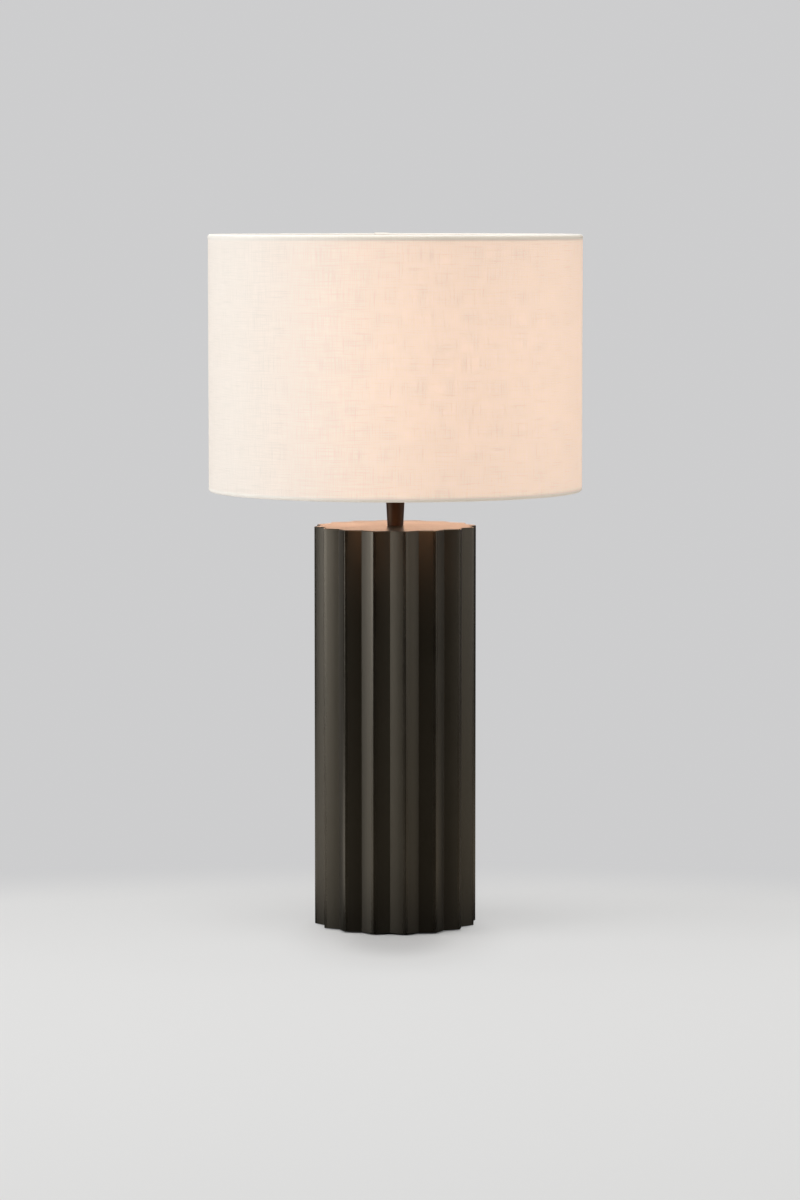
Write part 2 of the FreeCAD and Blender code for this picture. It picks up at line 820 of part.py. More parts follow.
def make_spider_arms():
    """Three wires from the lower edge wire up and in to the fitter ring."""
    arm_height = FITTER_BOTTOM - d.arm_wire / 2
    body = new_body("spider_arms", arm_height)
    start = d.arm_start
    end = d.shade_diameter / 2 - HEM_RADIUS
    drop = arm_height - (d.shade_bottom + HEM_RADIUS + d.edge_wire / 2 + d.arm_wire / 2)
    low = -drop.value
    first = start.value + d.arm_inner_straight.value
    last = end.value - d.arm_outer_straight.value
    slope = math.atan2(low, last - first)
    radius = d.arm_bend.value
    reach = radius * math.sin(-slope)
    dip = radius * (1 - math.cos(slope))
    path = new_sketch(body, "arm_path")
    points = [
        Vector(start.value, 0, 0), Vector(first, 0, 0), Vector(first + reach, -dip, 0),
        Vector(last - reach, low + dip, 0), Vector(last, low, 0), Vector(end.value, low, 0),
    ]
    curves = [
        Part.LineSegment(points[0], points[1]),
        arc_between(points[1], points[2], -radius),
        Part.LineSegment(points[2], points[3]),
        arc_between(points[3], points[4], radius),
        Part.LineSegment(points[4], points[5]),
    ]
    inner, upper_bend, slant, lower_bend, outer = [
        path.addGeometry(curve, False) for curve in curves
    ]
    path.addConstraint([
        Sketcher.Constraint("Horizontal", inner),
        Sketcher.Constraint("Horizontal", outer),
        Sketcher.Constraint("Tangent", inner, 2, upper_bend, 2),
        Sketcher.Constraint("Tangent", upper_bend, 1, slant, 1),
        Sketcher.Constraint("Tangent", slant, 2, lower_bend, 1),
        Sketcher.Constraint("Tangent", lower_bend, 2, outer, 1),
    ])
    place_point(path, inner, 1, start, 0)
    place_point(path, outer, 2, end, -drop)
    constrain(path, "Distance", (inner,), d.arm_inner_straight)
    constrain(path, "Distance", (outer,), d.arm_outer_straight)
    constrain(path, "Radius", (upper_bend,), d.arm_bend)
    constrain(path, "Radius", (lower_bend,), d.arm_bend)
    section = new_sketch(body, "arm_section", "YZ_Plane", start)
    draw_circle(section, d.arm_wire)
    document.recompute()
    arm = body.newObject("PartDesign::AdditivePipe", "arm_pipe")
    arm.Profile = section
    arm.Spine = (path, [f"Edge{index}" for index in range(1, 6)])
    document.recompute()
    repeat_round(body, [arm], d.arm_count)
    body.Placement.Rotation = Rotation(Vector(0, 0, 1), 30)


def make_fitter_ring():
    """Flat ring over the arms, which drops over the lampholder on to its shoulder."""
    turned_part("fitter_ring", FITTER_BOTTOM,
                ring_corners(d.fitter_hole, d.fitter_diameter, d.fitter_thickness))


def make_shade_ring():
    """Ring nut that clamps the fitter ring, with grips round its hub."""
    bore = d.ring_bore / 2
    flange = d.ring_flange / 2
    hub = d.ring_hub / 2
    thick = d.ring_flange_thickness
    height = FITTER_BOTTOM + d.fitter_thickness + d.fitter_gap
    body = turned_part("shade_ring", height, [
        (bore, 0), (flange, 0), (flange, thick), (hub, thick), (hub, d.ring_height - d.ring_chamfer),
        (hub - d.ring_chamfer, d.ring_height), (bore, d.ring_height),
    ])
    grip = new_sketch(body, "ring_grip", "XY_Plane", thick)
    draw_circle(grip, d.ring_grip_diameter, hub + d.ring_grip_diameter / 2 - d.ring_grip_depth, 0)
    groove = pocket(body, grip, d.ring_height)
    repeat_round(body, [groove], d.ring_grips)


# ---- bulb ----

def make_bulb_tip():
    """Solder button under the bulb."""
    radius = d.tip_diameter / 2
    rise = d.tip_height - d.tip_edge
    turned_part("bulb_tip", d.bulb_bottom, [
        (0, 0, cap_radius(radius, rise)), (radius, rise), (radius, d.tip_height), (0, d.tip_height),
    ])


def make_bulb_insulator():
    """Black cone between the tip and the screw cap."""
    low = d.tip_diameter / 2 + d.insulator_land
    high = d.insulator_diameter / 2
    height = d.insulator_height
    turned_part("bulb_insulator", d.bulb_bottom + d.tip_height, [
        (0, 0), (low, 0), (high, height - d.insulator_edge), (high, height), (0, height),
    ])


def make_bulb_cap():
    """Thin screw cap of the bulb."""
    outer = d.bulb_cap_diameter / 2
    wall = d.bulb_cap_wall
    foot = d.insulator_diameter / 2
    bevel = d.bulb_cap_bevel
    turned_part("bulb_cap", BULB_CAP_BOTTOM, [
        (0, 0), (foot, 0), (outer, bevel), (outer, d.bulb_cap_height),
        (outer - wall, d.bulb_cap_height), (outer - wall, bevel + wall / 2), (foot - wall / 2, wall),
        (0, wall),
    ])


def make_bulb_collar():
    """Moulded collar that carries the light board and the globe."""
    low = d.collar_bottom / 2
    high = d.globe_diameter / 2
    wall = d.collar_wall
    spigot = d.bulb_cap_diameter / 2 - d.bulb_cap_wall - d.hole_play / 2
    depth = d.collar_spigot
    foot = depth + d.collar_foot
    top = depth + d.collar_height
    seat = high - wall - d.collar_seat_step
    turned_part("bulb_collar", COLLAR_BOTTOM - depth, [
        (spigot - wall, 0), (spigot, 0), (spigot, depth), (low, depth), (low, foot, d.collar_flare),
        (high, top), (high - wall, top), (seat, top - d.collar_seat), (low - wall, foot),
        (spigot - wall, depth),
    ])


def make_bulb_globe():
    """Opal envelope that narrows to a rounded point."""
    wide = d.globe_diameter / 2
    wall = d.globe_wall
    foot = wide - d.globe_draft
    belly = d.globe_belly
    height = d.globe_height
    tip = d.globe_tip / 2
    rise = d.globe_tip_rise
    inner_tip = tip - wall / 2
    inner_rise = rise - wall / 2
    turned_part("bulb_globe", GLOBE_BOTTOM, [
        (foot, 0), (wide, belly, d.globe_side), (tip, height - rise, cap_radius(tip, rise)),
        (0, height), (0, height - wall, -cap_radius(inner_tip, inner_rise)),
        (inner_tip, height - wall - inner_rise, wall - d.globe_side), (wide - wall, belly),
        (foot - wall, 0),
    ])


def make_light_board():
    """Round board with the light sources, seated in the collar."""
    turned_part("light_board", GLOBE_BOTTOM - d.light_board_drop,
                disc_corners(d.light_board, d.light_board_thickness))


def make_driver_board():
    """Upright board in the collar and the screw cap."""
    body = new_body("driver_board", GLOBE_BOTTOM - d.driver_drop - d.driver_length)
    sketch = new_sketch(body, "driver_outline", "XY_Plane")
    half = d.driver_width / 2
    draw_box(sketch, -half, -d.driver_thickness / 2, half, d.driver_thickness / 2)
    pad(body, sketch, d.driver_length)


def make_lamp():
    """Builds every piece, from the foot to the bulb."""
    make_foot_pad()
    make_base_plate()
    make_base_screws()
    make_base_weight()
    make_column()
    make_cord_gland()
    make_tube()
    make_washer("lower_washer", RECESS_ROOF - d.washer_thickness)
    make_nut("lower_nut", RECESS_ROOF - d.washer_thickness - d.nut_thickness)
    make_washer("upper_washer", LID_BOTTOM - d.washer_thickness)
    make_nut("upper_nut", LID_BOTTOM - d.washer_thickness - d.nut_thickness)
    make_neck()
    make_holder_cap()
    make_grub_screw()
    make_holder_barrel()
    make_holder_insert()
    make_screw_shell()
    make_centre_contact()
    make_terminal_screws()
    make_shade_fabric()
    make_shade_liner()
    make_edge_wire("lower_edge_wire", d.shade_bottom + HEM_RADIUS)
    make_edge_wire("upper_edge_wire", SHADE_TOP - HEM_RADIUS)
    make_spider_arms()
    make_fitter_ring()
    make_shade_ring()
    make_bulb_tip()
    make_bulb_insulator()
    make_bulb_cap()
    make_bulb_collar()
    make_bulb_globe()
    make_light_board()
    make_driver_board()
    document.recompute()


def check_document():
    """Stops if an object of the document failed or a sub-part has no sound shape."""
    for item in document.Objects:
        if "Invalid" in item.State or "Error" in item.State:
            raise RuntimeError(f"{item.Label} failed: {item.State}")
    for body in sub_parts():
        if body.Shape.isNull() or not body.Shape.isValid() or not body.Shape.Solids:
            raise RuntimeError(f"{body.Label} has no valid solid")


def sub_parts():
    """The bodies of the document, one for each sub-part."""
    return [item for item in document.Objects if item.TypeId == "PartDesign::Body"]


def write_parts():
    """Writes each sub-part to a file of its own name."""
    os.makedirs("parts", exist_ok=True)
    for body in sub_parts():
        body.Shape.exportStep(f"parts/{body.Label}.step")
        box = body.Shape.BoundBox
        print(f"{body.Label}: {len(body.Shape.Solids)} solid, {body.Shape.Volume / 1000:.2f} cm3, "
              f"x {box.XMin:.1f} to {box.XMax:.1f}, y {box.YMin:.1f} to {box.YMax:.1f}, "
              f"z {box.ZMin:.1f} to {box.ZMax:.1f}")


make_lamp()
check_document()
write_parts()
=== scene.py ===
import json
import logging
import math
from dataclasses import dataclass
from enum import Enum
from typing import Any, Callable

import bmesh
import bpy
from mathutils import Matrix, Vector, noise


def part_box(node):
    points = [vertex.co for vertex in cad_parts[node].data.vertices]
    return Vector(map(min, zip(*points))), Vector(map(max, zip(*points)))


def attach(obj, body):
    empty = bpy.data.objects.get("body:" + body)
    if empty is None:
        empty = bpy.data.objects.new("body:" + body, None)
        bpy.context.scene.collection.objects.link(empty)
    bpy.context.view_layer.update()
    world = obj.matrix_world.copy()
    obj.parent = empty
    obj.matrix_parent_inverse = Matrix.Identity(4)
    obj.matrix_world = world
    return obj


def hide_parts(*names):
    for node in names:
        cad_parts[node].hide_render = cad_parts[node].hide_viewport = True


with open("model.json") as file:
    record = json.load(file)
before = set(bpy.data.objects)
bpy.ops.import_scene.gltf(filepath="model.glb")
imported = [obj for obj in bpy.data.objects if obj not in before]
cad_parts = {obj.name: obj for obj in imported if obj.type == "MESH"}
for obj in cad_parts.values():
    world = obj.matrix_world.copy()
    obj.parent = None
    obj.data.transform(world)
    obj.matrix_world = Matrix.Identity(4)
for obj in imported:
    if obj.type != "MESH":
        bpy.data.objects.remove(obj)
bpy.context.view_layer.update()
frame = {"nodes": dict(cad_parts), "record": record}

# Looks of a column table lamp: fluted satin-black column, tapered neck, and a cream
# drum shade lit from inside by a painted glow. Metres, +Z up, the cord gland at the back on +Y.

MM = 0.001
HEM = 5.4 * MM
HEM_STEP = 1.4 * MM
BLACK = (0.0, 0.0, 0.0)
WHITE = (1.0, 1.0, 1.0)
LOG = logging.getLogger("lamp")
Triple = tuple[float, float, float]
Colour = Triple
Pair = tuple[float, float]
Spot = tuple[float, float, float, float]


# ---- node trees ----

def spaced(named: dict[str, Any]) -> dict[str, Any]:
    """Names as Blender writes them, with spaces for underscores."""
    return {name.replace("_", " ").replace("Ior", "IOR"): entry for name, entry in named.items()}


def arithmetic(operation: str, turned: bool = False) -> Callable[..., "Value"]:
    """Makes an operator of Value.

    Args:
        operation: operation of the Math node that it adds.
        turned: whether the other operand comes first.

    Returns:
        The operator's method.
    """
    def operator(value: "Value", other: "Value | float") -> "Value":
        """The result, as a new value."""
        return value.graph.math(operation, *((other, value) if turned else (value, other)))
    return operator


class Value:
    """One socket of a node tree, on which arithmetic adds Math nodes."""

    __add__, __radd__ = arithmetic("ADD"), arithmetic("ADD", turned=True)
    __sub__, __rsub__ = arithmetic("SUBTRACT"), arithmetic("SUBTRACT", turned=True)
    __mul__, __truediv__ = arithmetic("MULTIPLY"), arithmetic("DIVIDE")
    __mod__ = arithmetic("MODULO")

    def __init__(self, graph: "Graph", socket: bpy.types.NodeSocket) -> None:
        """Keeps the socket and the graph that it belongs to."""
        self.graph = graph
        self.socket = socket

    def out(self, name: str) -> "Value":
        """Another output of the same node."""
        return Value(self.graph, self.socket.node.outputs[name])

    def swing(self, amount: float) -> "Value":
        """How far a pattern goes to either side of 0.5, times an amount."""
        return (self - 0.5) * amount


class Graph:
    """A node tree to which every node is added in one way."""

    def __init__(self, tree: bpy.types.NodeTree) -> None:
        """Keeps the tree that the nodes go into."""
        self.tree = tree

    def node(
        self,
        kind: str,
        sockets: dict[int | str, Any] | None = None,
        settings: dict[str, Any] | None = None,
        output: int | str = 0,
    ) -> Value:
        """Adds a node.

        Args:
            kind: Blender's name of the node's type.
            sockets: a value or a link for each input, by its name or index.
            settings: the node's own properties.
            output: the output to return, by its name or index.

        Returns:
            The chosen output.
        """
        made = self.tree.nodes.new(kind)
        for name, setting in (settings or {}).items():
            setattr(made, name, setting)
        for key, entry in (sockets or {}).items():
            socket = made.inputs[key]
            if isinstance(entry, Value):
                self.tree.links.new(entry.socket, socket)
            elif socket.type == "RGBA":
                socket.default_value = (*entry, 1.0)
            else:
                socket.default_value = entry
        return Value(self, made.outputs[output] if len(made.outputs) else None)

    def math(self, operation: str, *operands: Value | float) -> Value:
        """A Math node of that operation, with its operands in order."""
        return self.node("ShaderNodeMath", dict(enumerate(operands)), {"operation": operation})

    def vector(self, operation: str, *operands: Any) -> Value:
        """A Vector Math node.

        Args:
            operation: the node's operation.
            operands: its vectors or links, in order.

        Returns:
            The resulting vector, or the number of an operation that gives one.
        """
        output = "Value" if operation in ("LENGTH", "DOT_PRODUCT") else "Vector"
        settings = {"operation": operation}
        return self.node("ShaderNodeVectorMath", dict(enumerate(operands)), settings, output)

    def dot(self, first: Value, second: Any) -> Value:
        """How far the first vector goes along the second."""
        return self.vector("DOT_PRODUCT", first, second)

    def scaled(self, vector: Value, factor: Value | float) -> Value:
        """A vector times a number."""
        sockets = {0: vector, "Scale": factor}
        return self.node("ShaderNodeVectorMath", sockets, {"operation": "SCALE"})

    def split(self, vector: Value) -> tuple[Value, Value, Value]:
        """The x, y and z of a vector."""
        x = self.node("ShaderNodeSeparateXYZ", {0: vector}, output="X")
        return x, x.out("Y"), x.out("Z")

    def joined(self, x: Value | float, y: Value | float, z: Value | float) -> Value:
        """A vector of three numbers."""
        return self.node("ShaderNodeCombineXYZ", {"X": x, "Y": y, "Z": z})

    def between(self, value: Value, low: float, high: float) -> Value:
        """Where a value stands between two others.

        Args:
            value: the value.
            low: where the result is 0.
            high: where the result is 1.

        Returns:
            A smooth step from 0 to 1.
        """
        sockets = {"Value": value, "From Min": low, "From Max": high}
        return self.node("ShaderNodeMapRange", sockets, {"interpolation_type": "SMOOTHSTEP"})

    def mix(self, factor: Value, first: Any, second: Any) -> Value:
        """A colour between two others, by a factor from 0 to 1."""
        sockets = {0: factor, 6: first, 7: second}
        return self.node("ShaderNodeMix", sockets, {"data_type": "RGBA"}, 2)

    def blend(self, factor: Value, first: Value, second: Value) -> Value:
        """A shader between two others, by a factor from 0 to 1."""
        return self.node("ShaderNodeMixShader", {0: factor, 1: first, 2: second})


class Shader(Graph):
    """The node tree of one material."""

    def __init__(self, name: str) -> None:
        """Starts an empty material of that name."""
        self.material = bpy.data.materials.new(name)
        self.material.use_nodes = True
        super().__init__(self.material.node_tree)
        self.tree.nodes.clear()

    def place(self) -> Value:
        """Object coordinates, in metres."""
        return self.node("ShaderNodeTexCoord", output="Object")

    def noise(self, place: Value, size: float | Triple, detail: float) -> Value:
        """Soft random pattern.

        Args:
            place: the coordinates that it is laid on.
            size: width of one blotch, or its three widths, in the coordinates' unit.
            detail: how many finer layers it has.

        Returns:
            A number round 0.5.
        """
        if isinstance(size, tuple):
            place, size = self.vector("DIVIDE", place, size), 1.0
        sockets = {"Vector": place, "Scale": 1 / size, "Detail": detail}
        return self.node("ShaderNodeTexNoise", sockets)

    def bump(self, height: Value, depth: float) -> Value:
        """Relief from a height from 0 to 1, where 1 stands for a depth in metres."""
        return self.node("ShaderNodeBump", {"Height": height, "Distance": depth})

    def principled(self, **sockets: Any) -> Value:
        """A Principled shader; an underscore in a name stands for a space."""
        return self.node("ShaderNodeBsdfPrincipled", spaced(sockets))

    def emission(self, colour: Any) -> Value:
        """A surface that shines in a colour."""
        return self.node("ShaderNodeEmission", {"Color": colour, "Strength": 1.0})

    def finish(self, surface: Value) -> bpy.types.Material:
        """Ends the material with a surface and hands it over."""
        self.node("ShaderNodeOutputMaterial", {"Surface": surface})
        return self.material


class Recipe(Graph):
    """A Geometry Nodes tree with named inputs, run once into a plain mesh."""

    def __init__(self, name: str) -> None:
        """Starts an empty tree of that name with one geometry output."""
        super().__init__(bpy.data.node_groups.new(name, "GeometryNodeTree"))
        self.tree.interface.new_socket(
            "Geometry", in_out="OUTPUT", socket_type="NodeSocketGeometry")
        self.inlet = self.tree.nodes.new("NodeGroupInput")
        self.settings: dict[str, float | int] = {}

    def sizes(self, **sizes: float | int) -> list[Value]:
        """Named inputs.

        Args:
            sizes: what each input is set to, under its name, with underscores for spaces; a
                whole number makes a whole-number input.

        Returns:
            The inputs in the same order, to build with.
        """
        for name, value in spaced(sizes).items():
            kind = "NodeSocketInt" if isinstance(value, int) else "NodeSocketFloat"
            socket = self.tree.interface.new_socket(name, in_out="INPUT", socket_type=kind)
            self.settings[socket.identifier] = value
        return [Value(self, self.inlet.outputs[name]) for name in spaced(sizes)]

    def step(self, kind: str, **sockets: Any) -> Value:
        """A geometry node of that kind; an underscore in an input's name stands for a space."""
        return self.node(f"GeometryNode{kind}", spaced(sockets))

    def raised(self, geometry: Value, height: Value | float) -> Value:
        """Geometry moved up."""
        return self.step("Transform", Geometry=geometry, Translation=self.joined(0.0, 0.0, height))

    def turned(self, geometry: Value, angle: float) -> Value:
        """Geometry turned round the Z axis."""
        return self.step("Transform", Geometry=geometry, Rotation=(0.0, 0.0, angle))

    def together(self, *parts: Value) -> Value:
        """Several geometries as one."""
        joined = self.step("JoinGeometry")
        for part in reversed(parts):
            self.tree.links.new(part.socket, joined.socket.node.inputs[0])
        return joined

    def run(self, geometry: Value, material: bpy.types.Material) -> bpy.types.Object:
        """Runs the tree.

        Args:
            geometry: what the tree ends in.
            material: what its faces are dressed in.

        Returns:
            A piece of the tree's name, with a plain mesh.
        """
        real = self.step("RealizeInstances", Geometry=geometry)
        dressed = self.step("SetMaterial", Geometry=real, Material=material)
        outlet = self.tree.nodes.new("NodeGroupOutput")
        self.tree.links.new(dressed.socket, outlet.inputs[0])
        piece = new_piece(self.tree.name, bpy.data.meshes.new(self.tree.name))
        modifier = piece.modifiers.new("recipe", "NODES")
        modifier.node_group = self.tree
        for identifier, value in self.settings.items():
            modifier[identifier] = value
        return flattened(piece)


# ---- meshes ----

def new_piece(name: str, mesh: bpy.types.Mesh) -> bpy.types.Object:
    """Puts a mesh into the scene as a piece of that name."""
    piece = bpy.data.objects.new(name, mesh)
    bpy.context.scene.collection.objects.link(piece)
    return piece


def mesh_of(work: bmesh.types.BMesh, name: str) -> bpy.types.Mesh:
    """Ends a working mesh and stores it under a name."""
    mesh = bpy.data.meshes.new(name)
    work.to_mesh(mesh)
    work.free()
    return mesh


def flattened(piece: bpy.types.Object) -> bpy.types.Object:
    """Applies a piece's modifiers.

    Args:
        piece: a mesh piece with modifiers.

    Returns:
        The same piece with the result as its own plain mesh.
    """
    depsgraph = bpy.context.evaluated_depsgraph_get()
    result = bpy.data.meshes.new_from_object(
        piece.evaluated_get(depsgraph), preserve_all_data_layers=True, depsgraph=depsgraph)
    piece.modifiers.clear()
    piece.data = result
    result.name = piece.name
    return piece


def smoothed(piece: bpy.types.Object, sharp: float = 35.0) -> bpy.types.Object:
    """Smooth shading with sharp edges kept and large faces left flat.

    Args:
        piece: a mesh piece.
        sharp: angle in degrees over which an edge stays sharp.

    Returns:
        The same piece.
    """
    piece.data.shade_smooth()
    piece.data.set_sharp_from_angle(angle=math.radians(sharp))
    weighted = piece.modifiers.new("weighted", "WEIGHTED_NORMAL")
    weighted.keep_sharp = True
    return piece


def smoothstep(value: float, low: float, high: float) -> float:
    """Smooth step of a number from 0 at low to 1 at high."""
    share = min(max((value - low) / (high - low), 0.0), 1.0)
    return share * share * (3 - 2 * share)


@dataclass(frozen=True)
class Corner:
    """A corner of a turned outline: distance from the axis, height and rounding."""

    radius: float
    height: float
    rounding: float = 0.0


def rounded(corners: list[Corner], steps: int = 6) -> list[Pair]:
    """Outline through corners, each drawn as an arc where it has a rounding.

    Args:
        corners: the corners, in order round a closed outline.
        steps: how many sides an arc has.

    Returns:
        Points (distance from the axis, height).
    """
    points: list[Pair] = []
    for index, corner in enumerate(corners):
        here = Vector((corner.radius, corner.height))
        if corner.rounding == 0:
            points.append((here.x, here.y))
            continue
        after = corners[(index + 1) % len(corners)]
        before = corners[index - 1]
        back = (Vector((before.radius, before.height)) - here).normalized()
        ahead = (Vector((after.radius, after.height)) - here).normalized()
        half = back.angle(ahead) / 2
        centre = here + (back + ahead).normalized() * (corner.rounding / math.sin(half))
        start, end = (here + way * (corner.rounding / math.tan(half)) - centre
                      for way in (back, ahead))
        sweep = start.angle_signed(end)
        for step in range(steps + 1):
            turned = start.copy()
            turned.rotate(Matrix.Rotation(-sweep * step / steps, 2))
            points.append((centre.x + turned.x, centre.y + turned.y))
    return points


def turned_mesh(name: str, outline: list[Pair], sides: int, closed: bool = True) -> bpy.types.Mesh:
    """Turns an outline round the Z axis.

    Args:
        name: name of the mesh.
        outline: points (distance from the axis, height); a point on the axis becomes a pole.
        sides: how many steps a turn has.
        closed: whether the last point joins the first.

    Returns:
        The mesh, with its faces pointing outwards where it is closed.
    """
    work = bmesh.new()
    turns = [2 * math.pi * side / sides for side in range(sides)]
    ways = [(math.cos(turn), math.sin(turn)) for turn in turns]
    rings = []
    for radius, height in outline:
        if radius < 1e-7:
            rings.append([work.verts.new((0, 0, height))] * sides)
        else:
            rings.append([work.verts.new((radius * x, radius * y, height)) for x, y in ways])
    pairs = list(zip(rings, rings[1:])) + ([(rings[-1], rings[0])] if closed else [])
    for low, high in pairs:
        for side in range(sides):
            after = (side + 1) % sides
            corners = list(dict.fromkeys((low[side], low[after], high[after], high[side])))
            if len(corners) > 2:
                work.faces.new(corners)
    bmesh.ops.recalc_face_normals(work, faces=work.faces)
    return mesh_of(work, name)


def turned_piece(name: str, corners: list[Corner], sides: int) -> bpy.types.Object:
    """A smooth closed piece turned from an outline of rounded corners."""
    return smoothed(new_piece(name, turned_mesh(name, rounded(corners), sides)))


# ---- finishes ----

class Grain(Enum):
    """Which way the fine marks of a metal run, as their widths along each axis."""

    ROUND = (1.0, 1.0, 60.0)
    ALONG = (60.0, 60.0, 1.0)
    NONE = (1.0, 1.0, 1.0)


def times(colour: Colour, gain: float) -> Colour:
    """A colour made paler or darker."""
    return tuple(part * gain for part in colour)


@dataclass(frozen=True)
class Finish:
    """A look that makes one material."""

    colour: Colour

    def make(self, name: str) -> bpy.types.Material:
        """The material, under that name."""
        shader = Shader(name)
        return shader.finish(self.surface(shader, shader.place()))

    def surface(self, shader: Shader, place: Value) -> Value:
        """The look's own nodes.

        Args:
            shader: the material's tree.
            place: object coordinates, in metres.

        Returns:
            The shader that they end in.
        """
        raise NotImplementedError


@dataclass(frozen=True)
class SatinPaint(Finish):
    """Sprayed satin black with a fine grain, a little polished along the ridges."""

    faded: Colour
    tint: Colour
    roughness: float
    ridge: float
    ridge_width: float
    shine: float = 0.7
    cloud_size: float = 45 * MM
    grain_size: float = 0.7 * MM
    grain_depth: float = 0.035 * MM
    streak_sizes: Triple = (3 * MM, 3 * MM, 160 * MM)
    worn_range: Pair = (0.42, 0.62)
    worn_share: float = 0.5
    worn_gain: float = 1.7

    def surface(self, shader: Shader, place: Value) -> Value:
        """Streaky paint over its grain, worn on the ridges."""
        cloud = shader.noise(place, self.cloud_size, 4.0)
        grain = shader.noise(place, self.grain_size, 2.0)
        streak = shader.noise(place, self.streak_sizes, 2.0)
        x, y, _ = shader.split(place)
        reach = shader.math("SQRT", x * x + y * y)
        ridge = shader.between(reach, self.ridge - self.ridge_width, self.ridge)
        worn = ridge * shader.between(cloud, *self.worn_range) * self.worn_share
        tone = shader.mix(cloud * 0.6 + streak * 0.4, self.colour, self.faded)
        return shader.principled(
            Base_Color=shader.mix(worn, tone, times(self.faded, self.worn_gain)),
            Roughness=self.roughness + cloud.swing(0.1) + grain.swing(0.12) - ridge * 0.12,
            Specular_Ior_Level=self.shine, Specular_Tint=self.tint,
            Normal=shader.bump(grain, self.grain_depth))


@dataclass(frozen=True)
class Moulded(Finish):
    """Moulded plastic or glass, even, with faint flow marks."""

    roughness: float
    texture: float = 0.02 * MM
    coat: float = 0.0
    glow: Colour = BLACK
    glow_strength: float = 0.0
    flow_size: float = 12 * MM
    grain_size: float = 0.5 * MM

    def surface(self, shader: Shader, place: Value) -> Value:
        """Flow marks under a fine texture."""
        flow = shader.noise(place, self.flow_size, 3.0)
        grain = shader.noise(place, self.grain_size, 2.0)
        paler = [min(part * 1.25 + 0.004, 1.0) for part in self.colour]
        return shader.principled(
            Base_Color=shader.mix(flow, self.colour, paler),
            Roughness=self.roughness + flow.swing(0.12) + grain.swing(0.08),
            Normal=shader.bump(grain, self.texture), Coat_Weight=self.coat, Coat_Roughness=0.12,
            Emission_Color=self.glow, Emission_Strength=self.glow_strength)


@dataclass(frozen=True)
class Metal(Finish):
    """Plated, drawn or turned metal with marks that run one way."""

    stained: Colour
    roughness: float
    grain: Grain = Grain.NONE
    stain_size: float = 9 * MM
    mark_size: float = 0.25 * MM
    mark_depth: float = 0.03 * MM

    def surface(self, shader: Shader, place: Value) -> Value:
        """Stains and marks."""
        stain = shader.noise(place, self.stain_size, 4.0)
        marks = shader.noise(place, times(self.grain.value, self.mark_size), 2.0)
        return shader.principled(
            Base_Color=shader.mix(shader.between(stain, 0.4, 0.7), self.colour, self.stained),
            Metallic=1.0, Roughness=self.roughness + marks.swing(0.2) + stain.swing(0.15),
            Normal=shader.bump(marks * 0.15, self.mark_depth))


@dataclass(frozen=True)
class PowderCoat(Finish):
    """Powder coat on wire and sheet, with a light orange peel."""

    roughness: float
    peel_size: float = 1.1 * MM
    peel_depth: float = 0.08 * MM
    cloud_size: float = 30 * MM

    def surface(self, shader: Shader, place: Value) -> Value:
        """Peel under faint clouds."""
        peel = shader.noise(place, self.peel_size, 2.0)
        cloud = shader.noise(place, self.cloud_size, 3.0)
        share = shader.between(cloud, 0.3, 0.8)
        return shader.principled(
            Base_Color=shader.mix(share, self.colour, times(self.colour, 0.86)),
            Roughness=self.roughness + cloud.swing(0.1), Normal=shader.bump(peel, self.peel_depth))


@dataclass(frozen=True)
class Rough(Finish):
    """Cast iron, ceramic or pressed felt: an open surface with a grain of its own size."""

    fleck: Colour
    roughness: float
    grain_size: float
    depth: float
    sheen: float = 0.0
    metallic: float = 0.0
    fleck_range: Pair = (0.38, 0.62)

    def surface(self, shader: Shader, place: Value) -> Value:
        """Grain with flecks."""
        grain = shader.noise(place, self.grain_size, 5.0)
        cloud = shader.noise(place, 25 * self.grain_size, 3.0)
        flecks = shader.between(grain * 0.6 + cloud * 0.4, *self.fleck_range)
        return shader.principled(
            Base_Color=shader.mix(flecks, self.colour, self.fleck), Metallic=self.metallic,
            Roughness=self.roughness + cloud.swing(0.15), Normal=shader.bump(grain, self.depth),
            Sheen_Weight=self.sheen, Sheen_Roughness=0.6)


